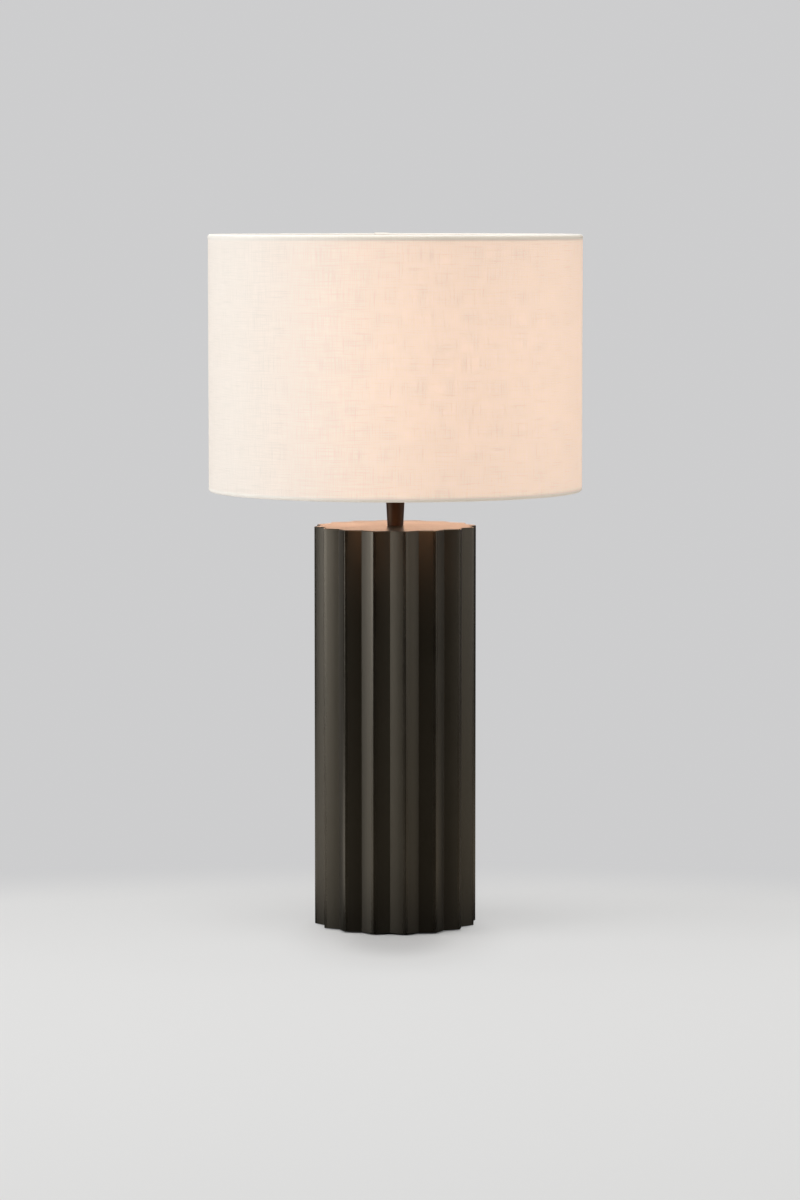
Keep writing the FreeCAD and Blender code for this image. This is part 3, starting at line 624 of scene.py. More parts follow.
@dataclass(frozen=True)
class Linen(Finish):
    """Slubbed plain weave that lets light through and shows a painted glow for the bulb's light;
    it reads the cloth's own map, in metres.
    """

    thick_yarn: Colour
    # Colour of a painted glow that stands in for the bulb's light through the cloth.
    glow: Colour
    glow_strength: float
    through: float
    # Painted glow in the hems, and a painted highlight on the upward faces of the top hem.
    painted_hem_glow: Colour = (0.22, 0.13, 0.03)
    painted_hem_highlight: Colour = (0.55, 0.53, 0.47)
    hem_blur: Pair = (0.8 * MM, 0.5 * MM)
    # Painted shade of the glow: weaker towards the side that the left softbox lights, on the
    # inside faces and towards the ends.
    day_side: Triple = (-0.997, 0.084, 0.0)
    day_range: Pair = (-0.3, 0.85)
    day_loss: float = 0.8
    inside: float = 0.45
    end_loss: float = 0.11
    warp: float = 0.62 * MM
    weft: float = 0.7 * MM
    slubs: tuple[Triple, Triple] = ((26 * MM, 0.75 * MM, 1.0), (0.75 * MM, 20 * MM, 1.0))
    slub_range: Pair = (0.4, 0.78)
    uneven: tuple[Triple, Triple] = ((40 * MM, 0.9 * MM, 1.0), (0.9 * MM, 30 * MM, 1.0))
    cloud_size: float = 60 * MM
    relief: float = 0.12 * MM

    def edges(self, shader: Shader, height: Value) -> Value:
        """Where the cloth is open, from 0 in a hem to 1 past it."""
        low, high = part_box("shade_fabric")
        edge = shader.math("MINIMUM", height - (low.z - HEM_STEP), high.z - height)
        before, past = self.hem_blur
        return shader.between(edge, HEM - before, HEM + past)

    def light(self, shader: Shader, place: Value, normal: Value, height: Value) -> Value:
        """How strong the cloth's painted glow is, standing in for the bulb's light through the
        cloth.

        Args:
            shader: the material's tree.
            place: object coordinates.
            normal: the surface's normal.
            height: height in those coordinates.

        Returns:
            A share of painted glow, lowered as painted shade towards the daylight, on the inside
            and near the ends.
        """
        low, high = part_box("shade_fabric")
        day = shader.dot(place, times(self.day_side, 1 / high.x))
        lit = 1 - shader.between(day, *self.day_range) * self.day_loss
        level = shader.vector("MULTIPLY", place, (1.0, 1.0, 0.0))
        turn = 0.1 * high.x
        outward = shader.between(shader.dot(normal, level), -turn, turn)
        lean = (height - (low.z + high.z) / 2) / ((high.z - low.z) / 2)
        outside = self.inside + outward * (1 - self.inside)
        return lit * outside * (1 - lean * lean * self.end_loss)

    def surface(self, shader: Shader, place: Value) -> Value:
        """Yarns, slubs and hems, with a translucent share and a painted glow for the light from
        behind, and a painted highlight on the top hem.
        """
        cloth = shader.node("ShaderNodeUVMap", settings={"uv_map": "cloth"})
        along, up, _ = shader.split(cloth)
        over, under = (shader.math("SINE", way * (math.pi / yarn))
                       for way, yarn in ((along, self.warp), (up, self.weft)))
        weave = over * under * 0.5 + 0.5
        slubs = (shader.noise(cloth, size, 1.0) for size in self.slubs)
        slub = shader.math("MAXIMUM", *(shader.between(one, *self.slub_range) for one in slubs))
        across, upright = (shader.noise(cloth, size, 1.0) for size in self.uneven)
        uneven = across + upright - 1
        cloud = shader.noise(cloth, self.cloud_size, 4.0)
        tone = slub * 0.2 + uneven * 0.4 + cloud * 0.2 + 0.1
        _, _, height = shader.split(place)
        normal = shader.node("ShaderNodeNewGeometry", output="Normal")
        _, _, upward = shader.split(normal)
        open_cloth = self.edges(shader, height)
        lit = self.light(shader, place, normal, height)
        # Painted glow, weaker where the yarns are thick.
        glow = shader.mix(lit * (0.96 - slub * 0.48 - uneven * 0.36), BLACK, self.glow)
        # Painted glow in the hems, then a painted highlight where the hem faces up.
        hem = shader.mix(lit, BLACK, self.painted_hem_glow)
        hem = shader.mix(shader.between(upward, 0.35, 0.95), hem, self.painted_hem_highlight)
        face = shader.principled(
            Base_Color=shader.mix(tone, self.colour, self.thick_yarn),
            Roughness=0.82 + cloud.swing(0.1), Specular_Ior_Level=0.25,
            Normal=shader.bump(weave * 0.5 + slub * 0.5, self.relief),
            Sheen_Weight=0.15, Sheen_Roughness=0.5,
            Emission_Color=shader.mix(open_cloth, hem, glow), Emission_Strength=self.glow_strength)
        back = shader.node("ShaderNodeBsdfTranslucent", {"Color": self.colour})
        return shader.blend((self.through - slub * 0.06 - weave * 0.02) * open_cloth, face, back)


@dataclass(frozen=True)
class ShadeSheet(Finish):
    """Thin translucent plastic sheet behind the cloth, with a painted warm glow that stands in for
    the bulb's light.
    """

    roughness: float
    cover: float
    # Colour of the painted glow that stands in for the bulb's light on the sheet.
    glow: Colour
    glow_strength: float
    cloud_size: float = 40 * MM
    print_sizes: Triple = (1.2 * MM, 1.2 * MM, 0.8 * MM)
    print_depth: float = 0.05 * MM

    def surface(self, shader: Shader, place: Value) -> Value:
        """A cloudy sheet with the print of the weave and its painted glow."""
        cloud = shader.noise(place, self.cloud_size, 3.0)
        weave = shader.noise(place, self.print_sizes, 1.0)
        return shader.principled(
            Base_Color=shader.mix(cloud, self.colour, times(self.colour, 0.94)),
            Roughness=self.roughness + cloud.swing(0.1),
            Normal=shader.bump(weave, self.print_depth), Alpha=self.cover,
            Emission_Color=self.glow, Emission_Strength=self.glow_strength)


@dataclass(frozen=True)
class Laminate(Finish):
    """Circuit board: green varnish over tracks."""

    track: Colour
    pitch: float = 3 * MM
    track_range: Pair = (0.12, 0.06)
    depth: float = 0.05 * MM

    def surface(self, shader: Shader, place: Value) -> Value:
        """Raised tracks."""
        cells = shader.node(
            "ShaderNodeTexVoronoi", {"Vector": place, "Scale": 1 / self.pitch, "Randomness": 0.3},
            {"feature": "DISTANCE_TO_EDGE", "distance": "EUCLIDEAN"})
        tracks = shader.between(cells, *self.track_range)
        return shader.principled(
            Base_Color=shader.mix(tracks, self.colour, self.track), Coat_Weight=0.3,
            Roughness=0.35 - tracks * 0.1, Normal=shader.bump(tracks, self.depth))


FINISHES = {
    "black_felt": Rough(
        (0.02, 0.02, 0.021), (0.05, 0.05, 0.05), 0.95, 0.35 * MM, 0.25 * MM, sheen=0.4),
    "black_steel": PowderCoat((0.02, 0.02, 0.02), 0.45),
    "zinc_steel": Metal((0.62, 0.62, 0.6), (0.5, 0.5, 0.47), 0.32),
    "raw_iron": Rough(
        (0.13, 0.125, 0.12), (0.22, 0.19, 0.16), 0.75, 0.9 * MM, 0.2 * MM, metallic=0.5),
    "column_paint": SatinPaint(
        (0.0065, 0.0056, 0.0042), (0.01, 0.0088, 0.0068), (1.0, 0.9, 0.72), 0.37,
        ridge=76 * MM, ridge_width=1.6 * MM),
    "black_nylon": Moulded((0.02, 0.02, 0.02), 0.5, texture=0.04 * MM),
    "neck_bronze": SatinPaint(
        (0.03, 0.0115, 0.005), (0.042, 0.016, 0.007), (1.0, 0.72, 0.5), 0.42,
        ridge=1.0, ridge_width=1 * MM, shine=0.4),
    "holder_black": Moulded((0.016, 0.015, 0.014), 0.24, coat=0.3),
    "holder_ceramic": Rough((0.8, 0.78, 0.72), (0.7, 0.67, 0.6), 0.6, 0.4 * MM, 0.05 * MM),
    "contact_brass": Metal((0.78, 0.58, 0.28), (0.6, 0.42, 0.2), 0.3, Grain.ALONG),
    # Its emission is a painted glow standing in for the bulb's light through the cloth.
    "shade_cloth": Linen(
        (0.86, 0.83, 0.78), (0.78, 0.72, 0.64),
        glow=(1.0, 0.565, 0.325), glow_strength=0.548, through=0.11),
    # Its emission is a painted glow standing in for the bulb's light.
    "shade_liner": ShadeSheet(
        (0.82, 0.8, 0.76), 0.4, cover=0.35, glow=(1.0, 0.6, 0.38), glow_strength=0.3),
    "white_wire": PowderCoat((0.84, 0.83, 0.8), 0.42),
    "solder": Metal((0.66, 0.66, 0.65), (0.5, 0.5, 0.5), 0.28),
    "black_glass": Moulded((0.012, 0.012, 0.014), 0.12, coat=0.5),
    "nickel_cap": Metal((0.74, 0.71, 0.64), (0.6, 0.57, 0.5), 0.2, Grain.ROUND),
    "bulb_white": Moulded((0.84, 0.83, 0.8), 0.4),
    "bulb_opal": Moulded((0.62, 0.58, 0.5), 0.35, glow=(1.0, 0.8, 0.55), glow_strength=0.4),
    "bare_aluminium": Metal((0.78, 0.78, 0.78), (0.66, 0.66, 0.66), 0.35, Grain.ROUND),
    "circuit_board": Laminate((0.03, 0.12, 0.05), (0.08, 0.22, 0.1)),
}


class Wardrobe:
    """The lamp's finishes, each made once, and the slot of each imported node."""

    def __init__(self) -> None:
        """Makes every finish."""
        self.materials = {slot: finish.make(slot) for slot, finish in FINISHES.items()}
        self.slots = {part["node"]: part["material_slot"] for part in frame["record"]["subparts"]}

    def put_on(self, piece: bpy.types.Object, slot: str) -> None:
        """Dresses a piece in the finish of a slot."""
        piece.data.materials.clear()
        piece.data.materials.append(self.materials[slot])

    def dress_nodes(self, *nodes: str) -> None:
        """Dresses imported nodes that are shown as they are."""
        for node in nodes:
            self.put_on(frame["nodes"][node], self.slots[node])
            LOG.info("node %s wears %s", node, self.slots[node])

    def hand_over(self, piece: bpy.types.Object, body: str, slot: str, *replaced: str) -> None:
        """Dresses a finished piece and lets it ride.

        Args:
            piece: the piece, in place.
            body: the body that it rides on.
            slot: the record's slot that its finish comes from.
            replaced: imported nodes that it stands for.
        """
        self.put_on(piece, slot)
        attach(piece, body)
        if replaced:
            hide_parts(*replaced)
        faces = len(piece.data.polygons)
        LOG.info("piece %s rides on %s in %s, %d faces", piece.name, body, slot, faces)


# ---- sub-assemblies ----

@dataclass
class Foot:
    """Felt pad, plate, screws and weight under the column."""

    rounding: float = 0.7 * MM
    sides: int = 160

    def build(self, wardrobe: Wardrobe) -> None:
        """Builds the felt pad and dresses the rest."""
        low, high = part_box("foot_pad")
        pad = turned_piece("felt_pad", [
            Corner(0, low.z), Corner(high.x, low.z, self.rounding),
            Corner(high.x, high.z, self.rounding), Corner(0, high.z),
        ], self.sides)
        wardrobe.hand_over(pad, "base", "black_felt", "foot_pad")
        wardrobe.dress_nodes("base_plate", "base_screws", "base_weight")


@dataclass
class Column:
    """Fluted shell with a closed top, open below, and the seat of the cord gland at the back."""

    flutes: int = 16
    ridge_radius: float = 76.6 * MM
    valley_radius: float = 69.3 * MM
    ridge_rounding: float = 1.1 * MM
    valley_rounding: float = 0.6 * MM
    crown: float = 0.48 * MM
    top_rounding: float = 1.0 * MM
    foot_rounding: float = 0.6 * MM
    bore: float = 65 * MM
    ledge: float = 7 * MM
    ledge_low: float = 20 * MM
    ledge_high: float = 24 * MM
    lid: float = 5 * MM
    hole: float = 5.2 * MM
    gland_recess: float = 7.8 * MM
    gland_hole: float = 5.3 * MM
    gland_seat: float = 68.9 * MM
    gland_sides: int = 48
    past_ridge: float = 2 * MM
    past_bore: float = 3 * MM
    facet_steps: int = 8
    corner_steps: int = 6
    edge_steps: int = 4
    bore_sides: int = 128
    sharp: float = 40.0

    def __post_init__(self) -> None:
        """Starts the tree that the shell is drawn in."""
        self.recipe = Recipe("fluted_column")

    def star(self) -> Value:
        """The column's cross-section.

        Returns:
            A closed curve with crowned facets, rounded ridges and rounded valleys.
        """
        recipe = self.recipe
        flutes, ridge, valley, crown, ridge_rounding, valley_rounding = recipe.sizes(
            Flutes=self.flutes, Ridge_Radius=self.ridge_radius, Valley_Radius=self.valley_radius,
            Crown=self.crown, Ridge_Rounding=self.ridge_rounding,
            Valley_Rounding=self.valley_rounding)
        star = recipe.step("CurveStar", Points=flutes, Inner_Radius=valley, Outer_Radius=ridge)
        star = recipe.turned(star, math.pi / self.flutes)
        fine = recipe.step("SubdivideCurve", Curve=star, Cuts=self.facet_steps - 1)
        index = recipe.step("InputIndex")
        share = index % self.facet_steps / self.facet_steps
        outward = recipe.vector("NORMALIZE", recipe.step("InputPosition"))
        push = recipe.scaled(outward, crown * share * (1 - share) * 4)
        crowned = recipe.step("SetPosition", Geometry=fine, Offset=push)
        on_corner, on_ridge = (
            recipe.math("COMPARE", index % (facets * self.facet_steps), 0.0, 0.1)
            for facets in (1, 2))
        radius = on_corner * (valley_rounding + on_ridge * (ridge_rounding - valley_rounding))
        sockets = {"Curve": crowned, "Count": self.corner_steps, "Radius": radius}
        return recipe.node("GeometryNodeFilletCurve", sockets, {"mode": "POLY"})

    def inset(self, place: Value, depth: Value | float) -> Value:
        """A point moved towards the axis by a depth."""
        recipe = self.recipe
        inward = recipe.scaled(recipe.vector("NORMALIZE", place), depth)
        return recipe.vector("SUBTRACT", place, inward)

    def wall(self, star: Value, foot: Value, top: Value) -> Value:
        """The fluted wall with its rounded ends.

        Args:
            star: the cross-section.
            foot: height of the lower end.
            top: height of the upper end.

        Returns:
            A grid wrapped round the cross-section.
        """
        recipe, steps = self.recipe, self.edge_steps
        around = recipe.node("GeometryNodeAttributeDomainSize", {0: star},
                             {"component": "CURVE"}, "Point Count")
        rows = 2 * steps + 3
        grid = recipe.step("MeshGrid", Vertices_X=around + 1, Vertices_Y=rows)
        index = recipe.step("InputIndex")
        column = recipe.math("FLOOR", (index + 0.1) / rows)
        row = index % rows
        corner = recipe.node(
            "GeometryNodeSampleIndex",
            {"Geometry": star, "Value": recipe.step("InputPosition"), "Index": column % around},
            {"data_type": "FLOAT_VECTOR"})
        low_turn = recipe.math("MINIMUM", row / steps, 1.0) * (math.pi / 2)
        high_turn = recipe.math("MAXIMUM", (row - steps - 2) / steps, 0.0) * (math.pi / 2)
        depth = ((1 - recipe.math("SINE", low_turn)) * self.foot_rounding
                 + (1 - recipe.math("COSINE", high_turn)) * self.top_rounding)
        rise = recipe.math("MINIMUM", recipe.math("MAXIMUM", (row - steps) / 2, 0.0), 1.0)
        straight = top - foot - self.foot_rounding - self.top_rounding
        height = (foot + (1 - recipe.math("COSINE", low_turn)) * self.foot_rounding
                  + rise * straight + recipe.math("SINE", high_turn) * self.top_rounding)
        x, y, _ = recipe.split(self.inset(corner, depth))
        return recipe.step("SetPosition", Geometry=grid, Position=recipe.joined(x, y, height))

    def end_face(self, star: Value, depth: float, hole: float, height: Value) -> Value:
        """Flat end of the column, from its rounded edge to a round hole.

        Args:
            star: the cross-section.
            depth: how far the edge's rounding reaches in.
            hole: radius of the hole.
            height: where the face lies.

        Returns:
            The face.
        """
        recipe = self.recipe
        edge = self.inset(recipe.step("InputPosition"), depth)
        rim = recipe.step("SetPosition", Geometry=star, Position=edge)
        circle = recipe.step("CurvePrimitiveCircle", Resolution=self.bore_sides, Radius=hole)
        face = recipe.step("FillCurve", Curve=recipe.together(rim, circle))
        return recipe.raised(face, height)

    def shell(self, wardrobe: Wardrobe) -> bpy.types.Object:
        """The closed shell, before the gland's seat is cut."""
        foot, top = (corner.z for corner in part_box("column"))
        low, high = self.recipe.sizes(Foot=foot, Top=top)
        star = self.star()
        outside = self.recipe.together(
            self.wall(star, low, high), self.end_face(star, self.foot_rounding, self.bore, low),
            self.end_face(star, self.top_rounding, self.hole, high))
        piece = self.recipe.run(outside, wardrobe.materials["column_paint"])
        narrow = self.bore - self.ledge
        inside = turned_mesh("column_inside", [
            (self.bore, foot), (self.bore, self.ledge_low), (narrow, self.ledge_low),
            (narrow, self.ledge_high), (self.bore, self.ledge_high), (self.bore, top - self.lid),
            (self.hole, top - self.lid), (self.hole, top),
        ], self.bore_sides, closed=False)
        work = bmesh.new()
        work.from_mesh(piece.data)
        work.from_mesh(inside)
        bmesh.ops.remove_doubles(work, verts=work.verts, dist=0.01 * MM)
        bmesh.ops.recalc_face_normals(work, faces=work.faces)
        work.to_mesh(piece.data)
        work.free()
        return piece

    def cut_gland_seat(self, piece: bpy.types.Object) -> None:
        """Cuts the recess and the hole of the cord gland out of the shell."""
        low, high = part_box("cord_gland")
        inner, outer = self.bore - self.past_bore, self.ridge_radius + self.past_ridge
        mesh = turned_mesh("gland_cutter", [
            (0, inner), (self.gland_hole, inner), (self.gland_hole, self.gland_seat),
            (self.gland_recess, self.gland_seat), (self.gland_recess, outer), (0, outer),
        ], self.gland_sides)
        mesh.transform(Matrix.Translation((0, 0, (low.z + high.z) / 2))
                       @ Matrix.Rotation(-math.pi / 2, 4, "X"))
        cutter = new_piece("gland_cutter", mesh)
        cut = piece.modifiers.new("gland", "BOOLEAN")
        cut.operation = "DIFFERENCE"
        cut.solver = "EXACT"
        cut.object = cutter
        flattened(piece)
        bpy.data.objects.remove(cutter)

    def build(self, wardrobe: Wardrobe) -> None:
        """Builds the shell and dresses the gland."""
        piece = self.shell(wardrobe)
        self.cut_gland_seat(piece)
        wardrobe.hand_over(smoothed(piece, self.sharp), "base", "column_paint", "column")
        wardrobe.dress_nodes("cord_gland")


@dataclass(frozen=True)
class Thread:
    """Raised screw thread round the lamp's axis, made as one wound bead."""

    radius: float
    pitch: float
    bead: float
    sides: int = 40
    bead_sides: int = 8

    def build(self, name: str, low: float, high: float,
              material: bpy.types.Material) -> bpy.types.Object:
        """Winds the bead.

        Args:
            name: name of the piece.
            low: where the thread starts.
            high: where it ends.
            material: what it is dressed in.

        Returns:
            The piece.
        """
        recipe = Recipe(name)
        radius, turns, height, bead = recipe.sizes(
            Radius=self.radius, Turns=(high - low) / self.pitch, Height=high - low, Bead=self.bead)
        spiral = recipe.step("CurveSpiral", Resolution=self.sides, Rotations=turns,
                             Start_Radius=radius, End_Radius=radius, Height=height)
        section = recipe.step("CurvePrimitiveCircle", Resolution=self.bead_sides, Radius=bead)
        wound = recipe.step("CurveToMesh", Curve=spiral, Profile_Curve=section, Fill_Caps=True)
        return smoothed(recipe.run(recipe.raised(wound, low), material))


@dataclass
class Stem:
    """Neck and the threaded tube with its washers and nuts."""

    rounding: float = 0.6 * MM
    bore: float = 5.05 * MM
    foot_radius: float = 7.5 * MM
    sides: int = 96

    def build(self, wardrobe: Wardrobe) -> None:
        """Turns the neck and dresses the rest."""
        low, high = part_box("neck")
        neck = turned_piece("neck_sleeve", [
            Corner(self.bore, low.z), Corner(self.foot_radius, low.z, self.rounding),
            Corner(high.x, high.z, self.rounding), Corner(self.bore, high.z),
        ], self.sides)
        wardrobe.hand_over(neck, "base", "neck_bronze", "neck")
        wardrobe.dress_nodes(
            "threaded_tube", "lower_washer", "lower_nut", "upper_washer", "upper_nut")


@dataclass
class Lampholder:
    """Cap, barrel with its outside thread, insert, shell and contacts."""

    thread: Thread = Thread(radius=19.48 * MM, pitch=2.2 * MM, bead=0.42 * MM)
    below_ring: float = 1.4 * MM
    below_top: float = 2 * MM

    def build(self, wardrobe: Wardrobe) -> None:
        """Winds the thread and dresses the holder."""
        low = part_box("shade_ring")[0].z - self.below_ring
        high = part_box("holder_barrel")[1].z - self.below_top
        black = wardrobe.materials["holder_black"]
        piece = self.thread.build("barrel_thread", low, high, black)
        wardrobe.hand_over(piece, "base", "holder_black")
        wardrobe.dress_nodes("holder_cap", "holder_grub_screw", "holder_barrel", "holder_insert",
                             "screw_shell", "centre_contact", "terminal_screws")


@dataclass(frozen=True)
class Ripple:
    """Random relief of the cloth: its depth, and the width of a wave round and up the drum."""

    depth: float
    round: float
    up: float
    seed: float

    def at(self, along: float, height: float) -> float:
        """The relief at a place of the drum."""
        return self.depth * noise.noise(Vector((along / self.round, height / self.up, self.seed)))


@dataclass
class Shade:
    """Cloth drum on two wires, with its liner, arms and fitter ring."""

    radius: float = 174.7 * MM
    roll: float = 2.4 * MM
    hem_return: float = 1.7 * MM
    cloth: float = 0.6 * MM
    lap: float = 12 * MM
    lap_rise: float = 0.66 * MM
    lap_slope: float = 6 * MM
    lap_start: float = math.radians(97)
    hem_bulge: float = 0.3 * MM
    hem_groove: float = 0.18 * MM
    groove_width: float = 0.8 * MM
    slack: Ripple = Ripple(0.16 * MM, 90 * MM, 120 * MM, 3.0)
    pucker: Ripple = Ripple(0.12 * MM, 5 * MM, 9 * MM, 8.0)
    pucker_reach: float = 5 * MM
    columns: int = 500
    rows: int = 38
    arc_steps: int = 10
    liner_sheet: float = 0.5 * MM
    liner_sides: int = 240
    arms: int = 3
    arm_turn: float = math.radians(30)
    weld: float = 2.3 * MM
    weld_squash: float = 0.62

    def path(self) -> list[Spot]:
        """The cloth's section.

        Returns:
            Distance from the axis, height and the two parts of the outward normal, from the
            lower return round the lower wire, up the drum and round the upper wire.
        """
        low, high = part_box("shade_fabric")
        wire = self.radius - self.roll
        bottom = low.z + self.roll + self.cloth / 2
        top = high.z - self.roll - self.cloth / 2
        turns = [math.pi * step / self.arc_steps for step in range(self.arc_steps + 1)]
        points = [(wire - self.roll, bottom + self.hem_return, -1.0, 0.0)]
        points += [self.on_roll(wire, bottom, math.pi + turn) for turn in turns]
        for row in range(1, self.rows):
            share = 0.5 - 0.5 * math.cos(math.pi * row / self.rows)
            points.append((self.radius, bottom + (top - bottom) * share, 1.0, 0.0))
        points += [self.on_roll(wire, top, turn) for turn in turns]
        points.append((wire - self.roll, top - self.hem_return, -1.0, 0.0))
        return points

    def on_roll(self, wire: float, height: float, angle: float) -> Spot:
        """A point of the cloth round a wire, with its normal."""
        x, z = math.cos(angle), math.sin(angle)
        return wire + self.roll * x, height + self.roll * z, x, z

    def relief(self, along: float, height: float, low: float, high: float) -> float:
        """How far the cloth stands out from the plain drum.

        Args:
            along: distance round the drum.
            height: height over the table.
            low: the shade's lower end.
            high: its upper end.

        Returns:
            Distance along the normal.
        """
        edge = min(height - low + HEM_STEP, high - height)
        bulge = self.hem_bulge * (1 - smoothstep(edge, 0.6 * HEM, HEM))
        past = (edge - HEM) / self.groove_width
        groove = self.hem_groove * math.exp(-past * past)
        near = math.exp(-max(edge, 0.0) / self.pucker_reach)
        return (bulge - groove + self.slack.at(along, height)
                + near * self.pucker.at(along, height))

    def drum(self) -> bpy.types.Object:
        """The cloth as one sheet, lapped at the back, with its map in metres."""
        low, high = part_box("shade_fabric")
        section = self.path()
        girth = 2 * math.pi * self.radius
        length = girth + self.lap
        up = [0.0]
        for before, after in zip(section, section[1:]):
            up.append(up[-1] + math.dist(before[:2], after[:2]))
        work = bmesh.new()
        layer = work.loops.layers.uv.new("cloth")
        grid = []
        for column in range(self.columns + 1):
            along = length * column / self.columns
            angle = self.lap_start + along / self.radius
            lift = self.lap_rise * smoothstep(along, girth - self.lap_slope, girth)
            line = []
            for reach, height, out, rise in section:
                push = lift + self.relief(along % girth, height, low.z, high.z) * max(out, 0.0)
                spread = reach + push * out
                line.append(work.verts.new((
                    spread * math.cos(angle), spread * math.sin(angle), height + push * rise)))
            grid.append(line)
        for column in range(self.columns):
            for row in range(len(section) - 1):
                spots = [(column + i, row + j) for i, j in ((0, 0), (1, 0), (1, 1), (0, 1))]
                face = work.faces.new([grid[i][j] for i, j in spots])
                for loop, (i, j) in zip(face.loops, spots):
                    loop[layer].uv = (length * i / self.columns, up[j])
        piece = new_piece("shade_cloth", mesh_of(work, "shade_cloth"))
        piece.data.shade_smooth()
        solid = piece.modifiers.new("thickness", "SOLIDIFY")
        solid.thickness = self.cloth
        solid.offset = 0.0
        flattened(piece)
        return piece

    def liner(self) -> bpy.types.Object:
        """The stiff sheet behind the cloth."""
        low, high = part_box("shade_liner")
        inner = high.x - self.liner_sheet
        outline = [(inner, low.z), (high.x, low.z), (high.x, high.z), (inner, high.z)]
        mesh = turned_mesh("liner_sheet", outline, self.liner_sides)
        return smoothed(new_piece("liner_sheet", mesh))

    def welds(self, wardrobe: Wardrobe) -> bpy.types.Object:
        """Weld beads where the arms meet the fitter ring and the lower wire."""
        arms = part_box("spider_arms")
        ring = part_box("fitter_ring")
        recipe = Recipe("weld_beads")
        count, inner, outer, bead = recipe.sizes(
            Arms=self.arms, Inner_Radius=ring[1].x - 1.2 * MM,
            Outer_Radius=self.radius - self.roll - 0.6 * MM, Bead=self.weld)
        parts = []
        for radius, height in ((inner, ring[0].z - 0.5 * MM), (outer, arms[0].z + 0.6 * MM)):
            circle = recipe.step("MeshCircle", Vertices=count, Radius=radius)
            spots = recipe.raised(recipe.turned(circle, self.arm_turn), height)
            ball = recipe.step("MeshIcoSphere", Radius=bead, Subdivisions=3)
            parts.append(recipe.step("InstanceOnPoints", Points=spots, Instance=ball,
                                     Scale=(1.0, 1.0, self.weld_squash)))
        return smoothed(recipe.run(recipe.together(*parts), wardrobe.materials["white_wire"]))

    def build(self, wardrobe: Wardrobe) -> None:
        """Builds the cloth, the liner and the welds, and dresses the frame."""
        wardrobe.hand_over(self.drum(), "shade", "shade_cloth", "shade_fabric")
        wardrobe.hand_over(self.liner(), "shade", "shade_liner", "shade_liner")
        wardrobe.hand_over(self.welds(wardrobe), "shade", "white_wire")
        wardrobe.dress_nodes(
            "lower_edge_wire", "upper_edge_wire", "spider_arms", "fitter_ring", "shade_ring")


@dataclass
class Bulb:
    """Opal bulb with its rolled screw cap, light board and driver."""

    thread: Thread = Thread(radius=12.35 * MM, pitch=3.629 * MM, bead=1.0 * MM, sides=48)
    above_foot: float = 3.6 * MM
    below_top: float = 3 * MM
    chips: int = 12
    chip: float = 2.8 * MM
    chip_height: float = 0.7 * MM
    chip_edge: float = 0.15 * MM
    chip_circle: float = 10 * MM

    def light_chips(self, wardrobe: Wardrobe) -> bpy.types.Object:
        """Light sources in a ring on the board."""
        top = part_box("light_board")[1].z
        recipe = Recipe("light_chips")
        count, circle = recipe.sizes(Chips=self.chips, Circle=self.chip_circle)
        points = recipe.step("MeshCircle", Vertices=count, Radius=circle)
        chip = recipe.step("MeshCube", Size=(self.chip, self.chip, self.chip_height))
        row = recipe.raised(recipe.step("InstanceOnPoints", Points=points, Instance=chip),
                            top + self.chip_height / 2)
        piece = recipe.run(row, wardrobe.materials["bulb_opal"])
        bevel = piece.modifiers.new("edge", "BEVEL")
        bevel.width = self.chip_edge
        bevel.segments = 2
        return flattened(piece)

    def build(self, wardrobe: Wardrobe) -> None:
        """Winds the cap's thread, sets the chips and dresses the rest."""
        low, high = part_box("bulb_cap")
        nickel = wardrobe.materials["nickel_cap"]
        piece = self.thread.build(
            "bulb_thread", low.z + self.above_foot, high.z - self.below_top, nickel)
        wardrobe.hand_over(piece, "bulb", "nickel_cap")
        wardrobe.hand_over(self.light_chips(wardrobe), "bulb", "bulb_opal")
        wardrobe.dress_nodes("bulb_tip", "bulb_insulator", "bulb_cap", "bulb_collar", "bulb_globe",
                             "light_board", "driver_board")


# ---- studio ----

class Side(Enum):
    """Where a softbox stands, seen from the camera: how far to the right and how far up."""

    LEFT = (-1.0, 0.0)
    RIGHT = (1.0, 0.0)
    ABOVE = (0.0, 1.0)


@dataclass(frozen=True)
class Softbox:
    """A large soft light, by its side, watts, width and height, degrees from the camera's
    direction, distance from the lamp, and whether it only shows in glossy surfaces."""

    side: Side
    power: float
    size: Pair
    turn: float
    away: float
    gloss_alone: bool = False


def aimed(item: bpy.types.Object, spot: Vector, target: Vector) -> None:
    """Puts a light or a camera into the scene, turned to a target."""
    item.location = spot
    item.rotation_euler = (target - item.location).to_track_quat("-Z", "Y").to_euler()
    bpy.context.scene.collection.objects.link(item)


def area_light(name: str, power: float, size: Pair, colour: Colour) -> bpy.types.Object:
    """A rectangular light of a width and height, not yet in the scene."""
    data = bpy.data.lights.new(name, "AREA")
    data.shape = "RECTANGLE"
    data.size, data.size_y = size
    data.energy = power
    data.color = colour
    return bpy.data.objects.new(name, data)


